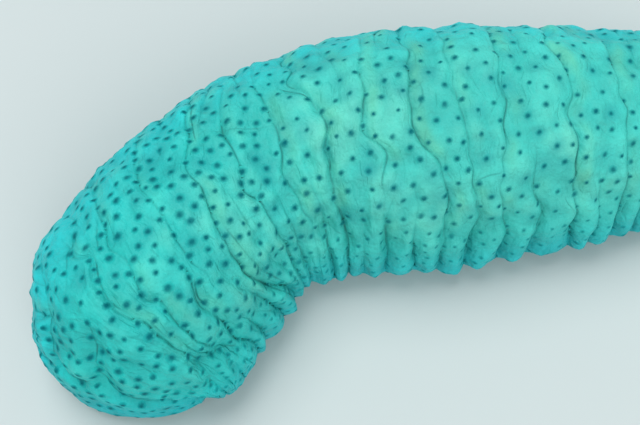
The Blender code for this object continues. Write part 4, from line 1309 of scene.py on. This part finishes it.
tentacle_material, tree, shader = new_material("tentacles", 0.38)
place = put(tree, "TexCoord").outputs["Object"]
knobs = noise_at(tree, place, KNOB_SCALE, 2.0)
colour = mixed(tree, spread(tree, knobs, *KNOB_ENDS), KNOB_DARK, KNOB_PALE)
tree.links.new(colour, shader.inputs["Base Color"])
bumped(tree, shader, times(tree, knobs, KNOB_HEIGHT), 1.0)
tentacles.data.materials.append(tentacle_material)
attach(tentacles, "root")
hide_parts("tentacle_crown")


# The floor, the lights and the camera
# A plain pale floor under a wide soft light from above, seen from in front and well above, with
# the tail out of the picture on the right.

FLOOR_SIZE = 30.0
FLOOR_PALE, FLOOR_CLOUD = srgb(200, 208, 208), srgb(194, 203, 204)
FLOOR_SCALE, FLOOR_TONES = 6.0, (0.3, 0.7, 0.0, 0.2)
ROOM_COLOUR = (0.86, 0.93, 0.95, 1.0)
ROOM_LIGHT = 0.56
ROOM_AS_SEEN = 0.80
SENSOR_WIDTH = 36  # millimetres
CAMERA_TARGET = Vector((-0.0323, -0.0383, 0.032))
CAMERA_DISTANCE = 0.4112
CAMERA_ELEVATION = 62.0  # degrees above the horizon
FIELD_OF_VIEW = 42.0  # degrees, across the picture

bpy.ops.object.select_all(action="DESELECT")
bpy.ops.mesh.primitive_plane_add(size=FLOOR_SIZE)
floor = bpy.context.object
floor.name = "floor"
floor_material, tree, shader = new_material("floor", 0.85)
place = put(tree, "TexCoord").outputs["Object"]
tone = spread(tree, noise_at(tree, place, FLOOR_SCALE, 3.0), *FLOOR_TONES)
tree.links.new(mixed(tree, tone, FLOOR_PALE, FLOOR_CLOUD), shader.inputs["Base Color"])
floor.data.materials.append(floor_material)


def soft_light(name, comes_from, spread_angle, strength):
    """Even light from one side of the sky, from a round patch this many degrees wide."""
    lamp = bpy.data.lights.new(name, "SUN")
    lamp.angle = math.radians(spread_angle)
    lamp.energy = strength
    holder = bpy.data.objects.new(name, lamp)
    holder.location = comes_from
    holder.rotation_euler = (-Vector(comes_from)).to_track_quat("-Z", "Y").to_euler()
    bpy.context.scene.collection.objects.link(holder)


soft_light("overhead", (-0.25, 0.35, 1.1), 43.0, 1.68)
soft_light("front_fill", (0.42, -1.0, 0.7), 40.0, 1.14)

# The room gives soft light from all round. Where it is seen itself, it is as pale as the floor.
world = bpy.data.worlds.new("soft_room")
world.use_nodes = True
tree = world.node_tree
room = tree.nodes["Background"]
room.inputs["Color"].default_value = ROOM_COLOUR
room.inputs["Strength"].default_value = ROOM_LIGHT
backdrop = put(tree, "Mix", {"data_type": "FLOAT"}, i0=0.0, i2=ROOM_LIGHT, i3=ROOM_AS_SEEN)
tree.links.new(put(tree, "LightPath").outputs["Is Camera Ray"], backdrop.inputs[0])
tree.links.new(backdrop.outputs[0], room.inputs["Strength"])
bpy.context.scene.world = world
bpy.context.scene.view_settings.view_transform = "Standard"

lens = bpy.data.cameras.new("camera")
lens.sensor_width = SENSOR_WIDTH
lens.lens = lens.sensor_width / 2 / math.tan(math.radians(FIELD_OF_VIEW / 2))
camera = bpy.data.objects.new("camera", lens)
elevation = math.radians(CAMERA_ELEVATION)
looks_along = Vector((0, math.cos(elevation), -math.sin(elevation)))
camera.location = CAMERA_TARGET - looks_along * CAMERA_DISTANCE
camera.rotation_euler = looks_along.to_track_quat("-Z", "Y").to_euler()
bpy.context.scene.collection.objects.link(camera)
bpy.context.scene.camera = camera
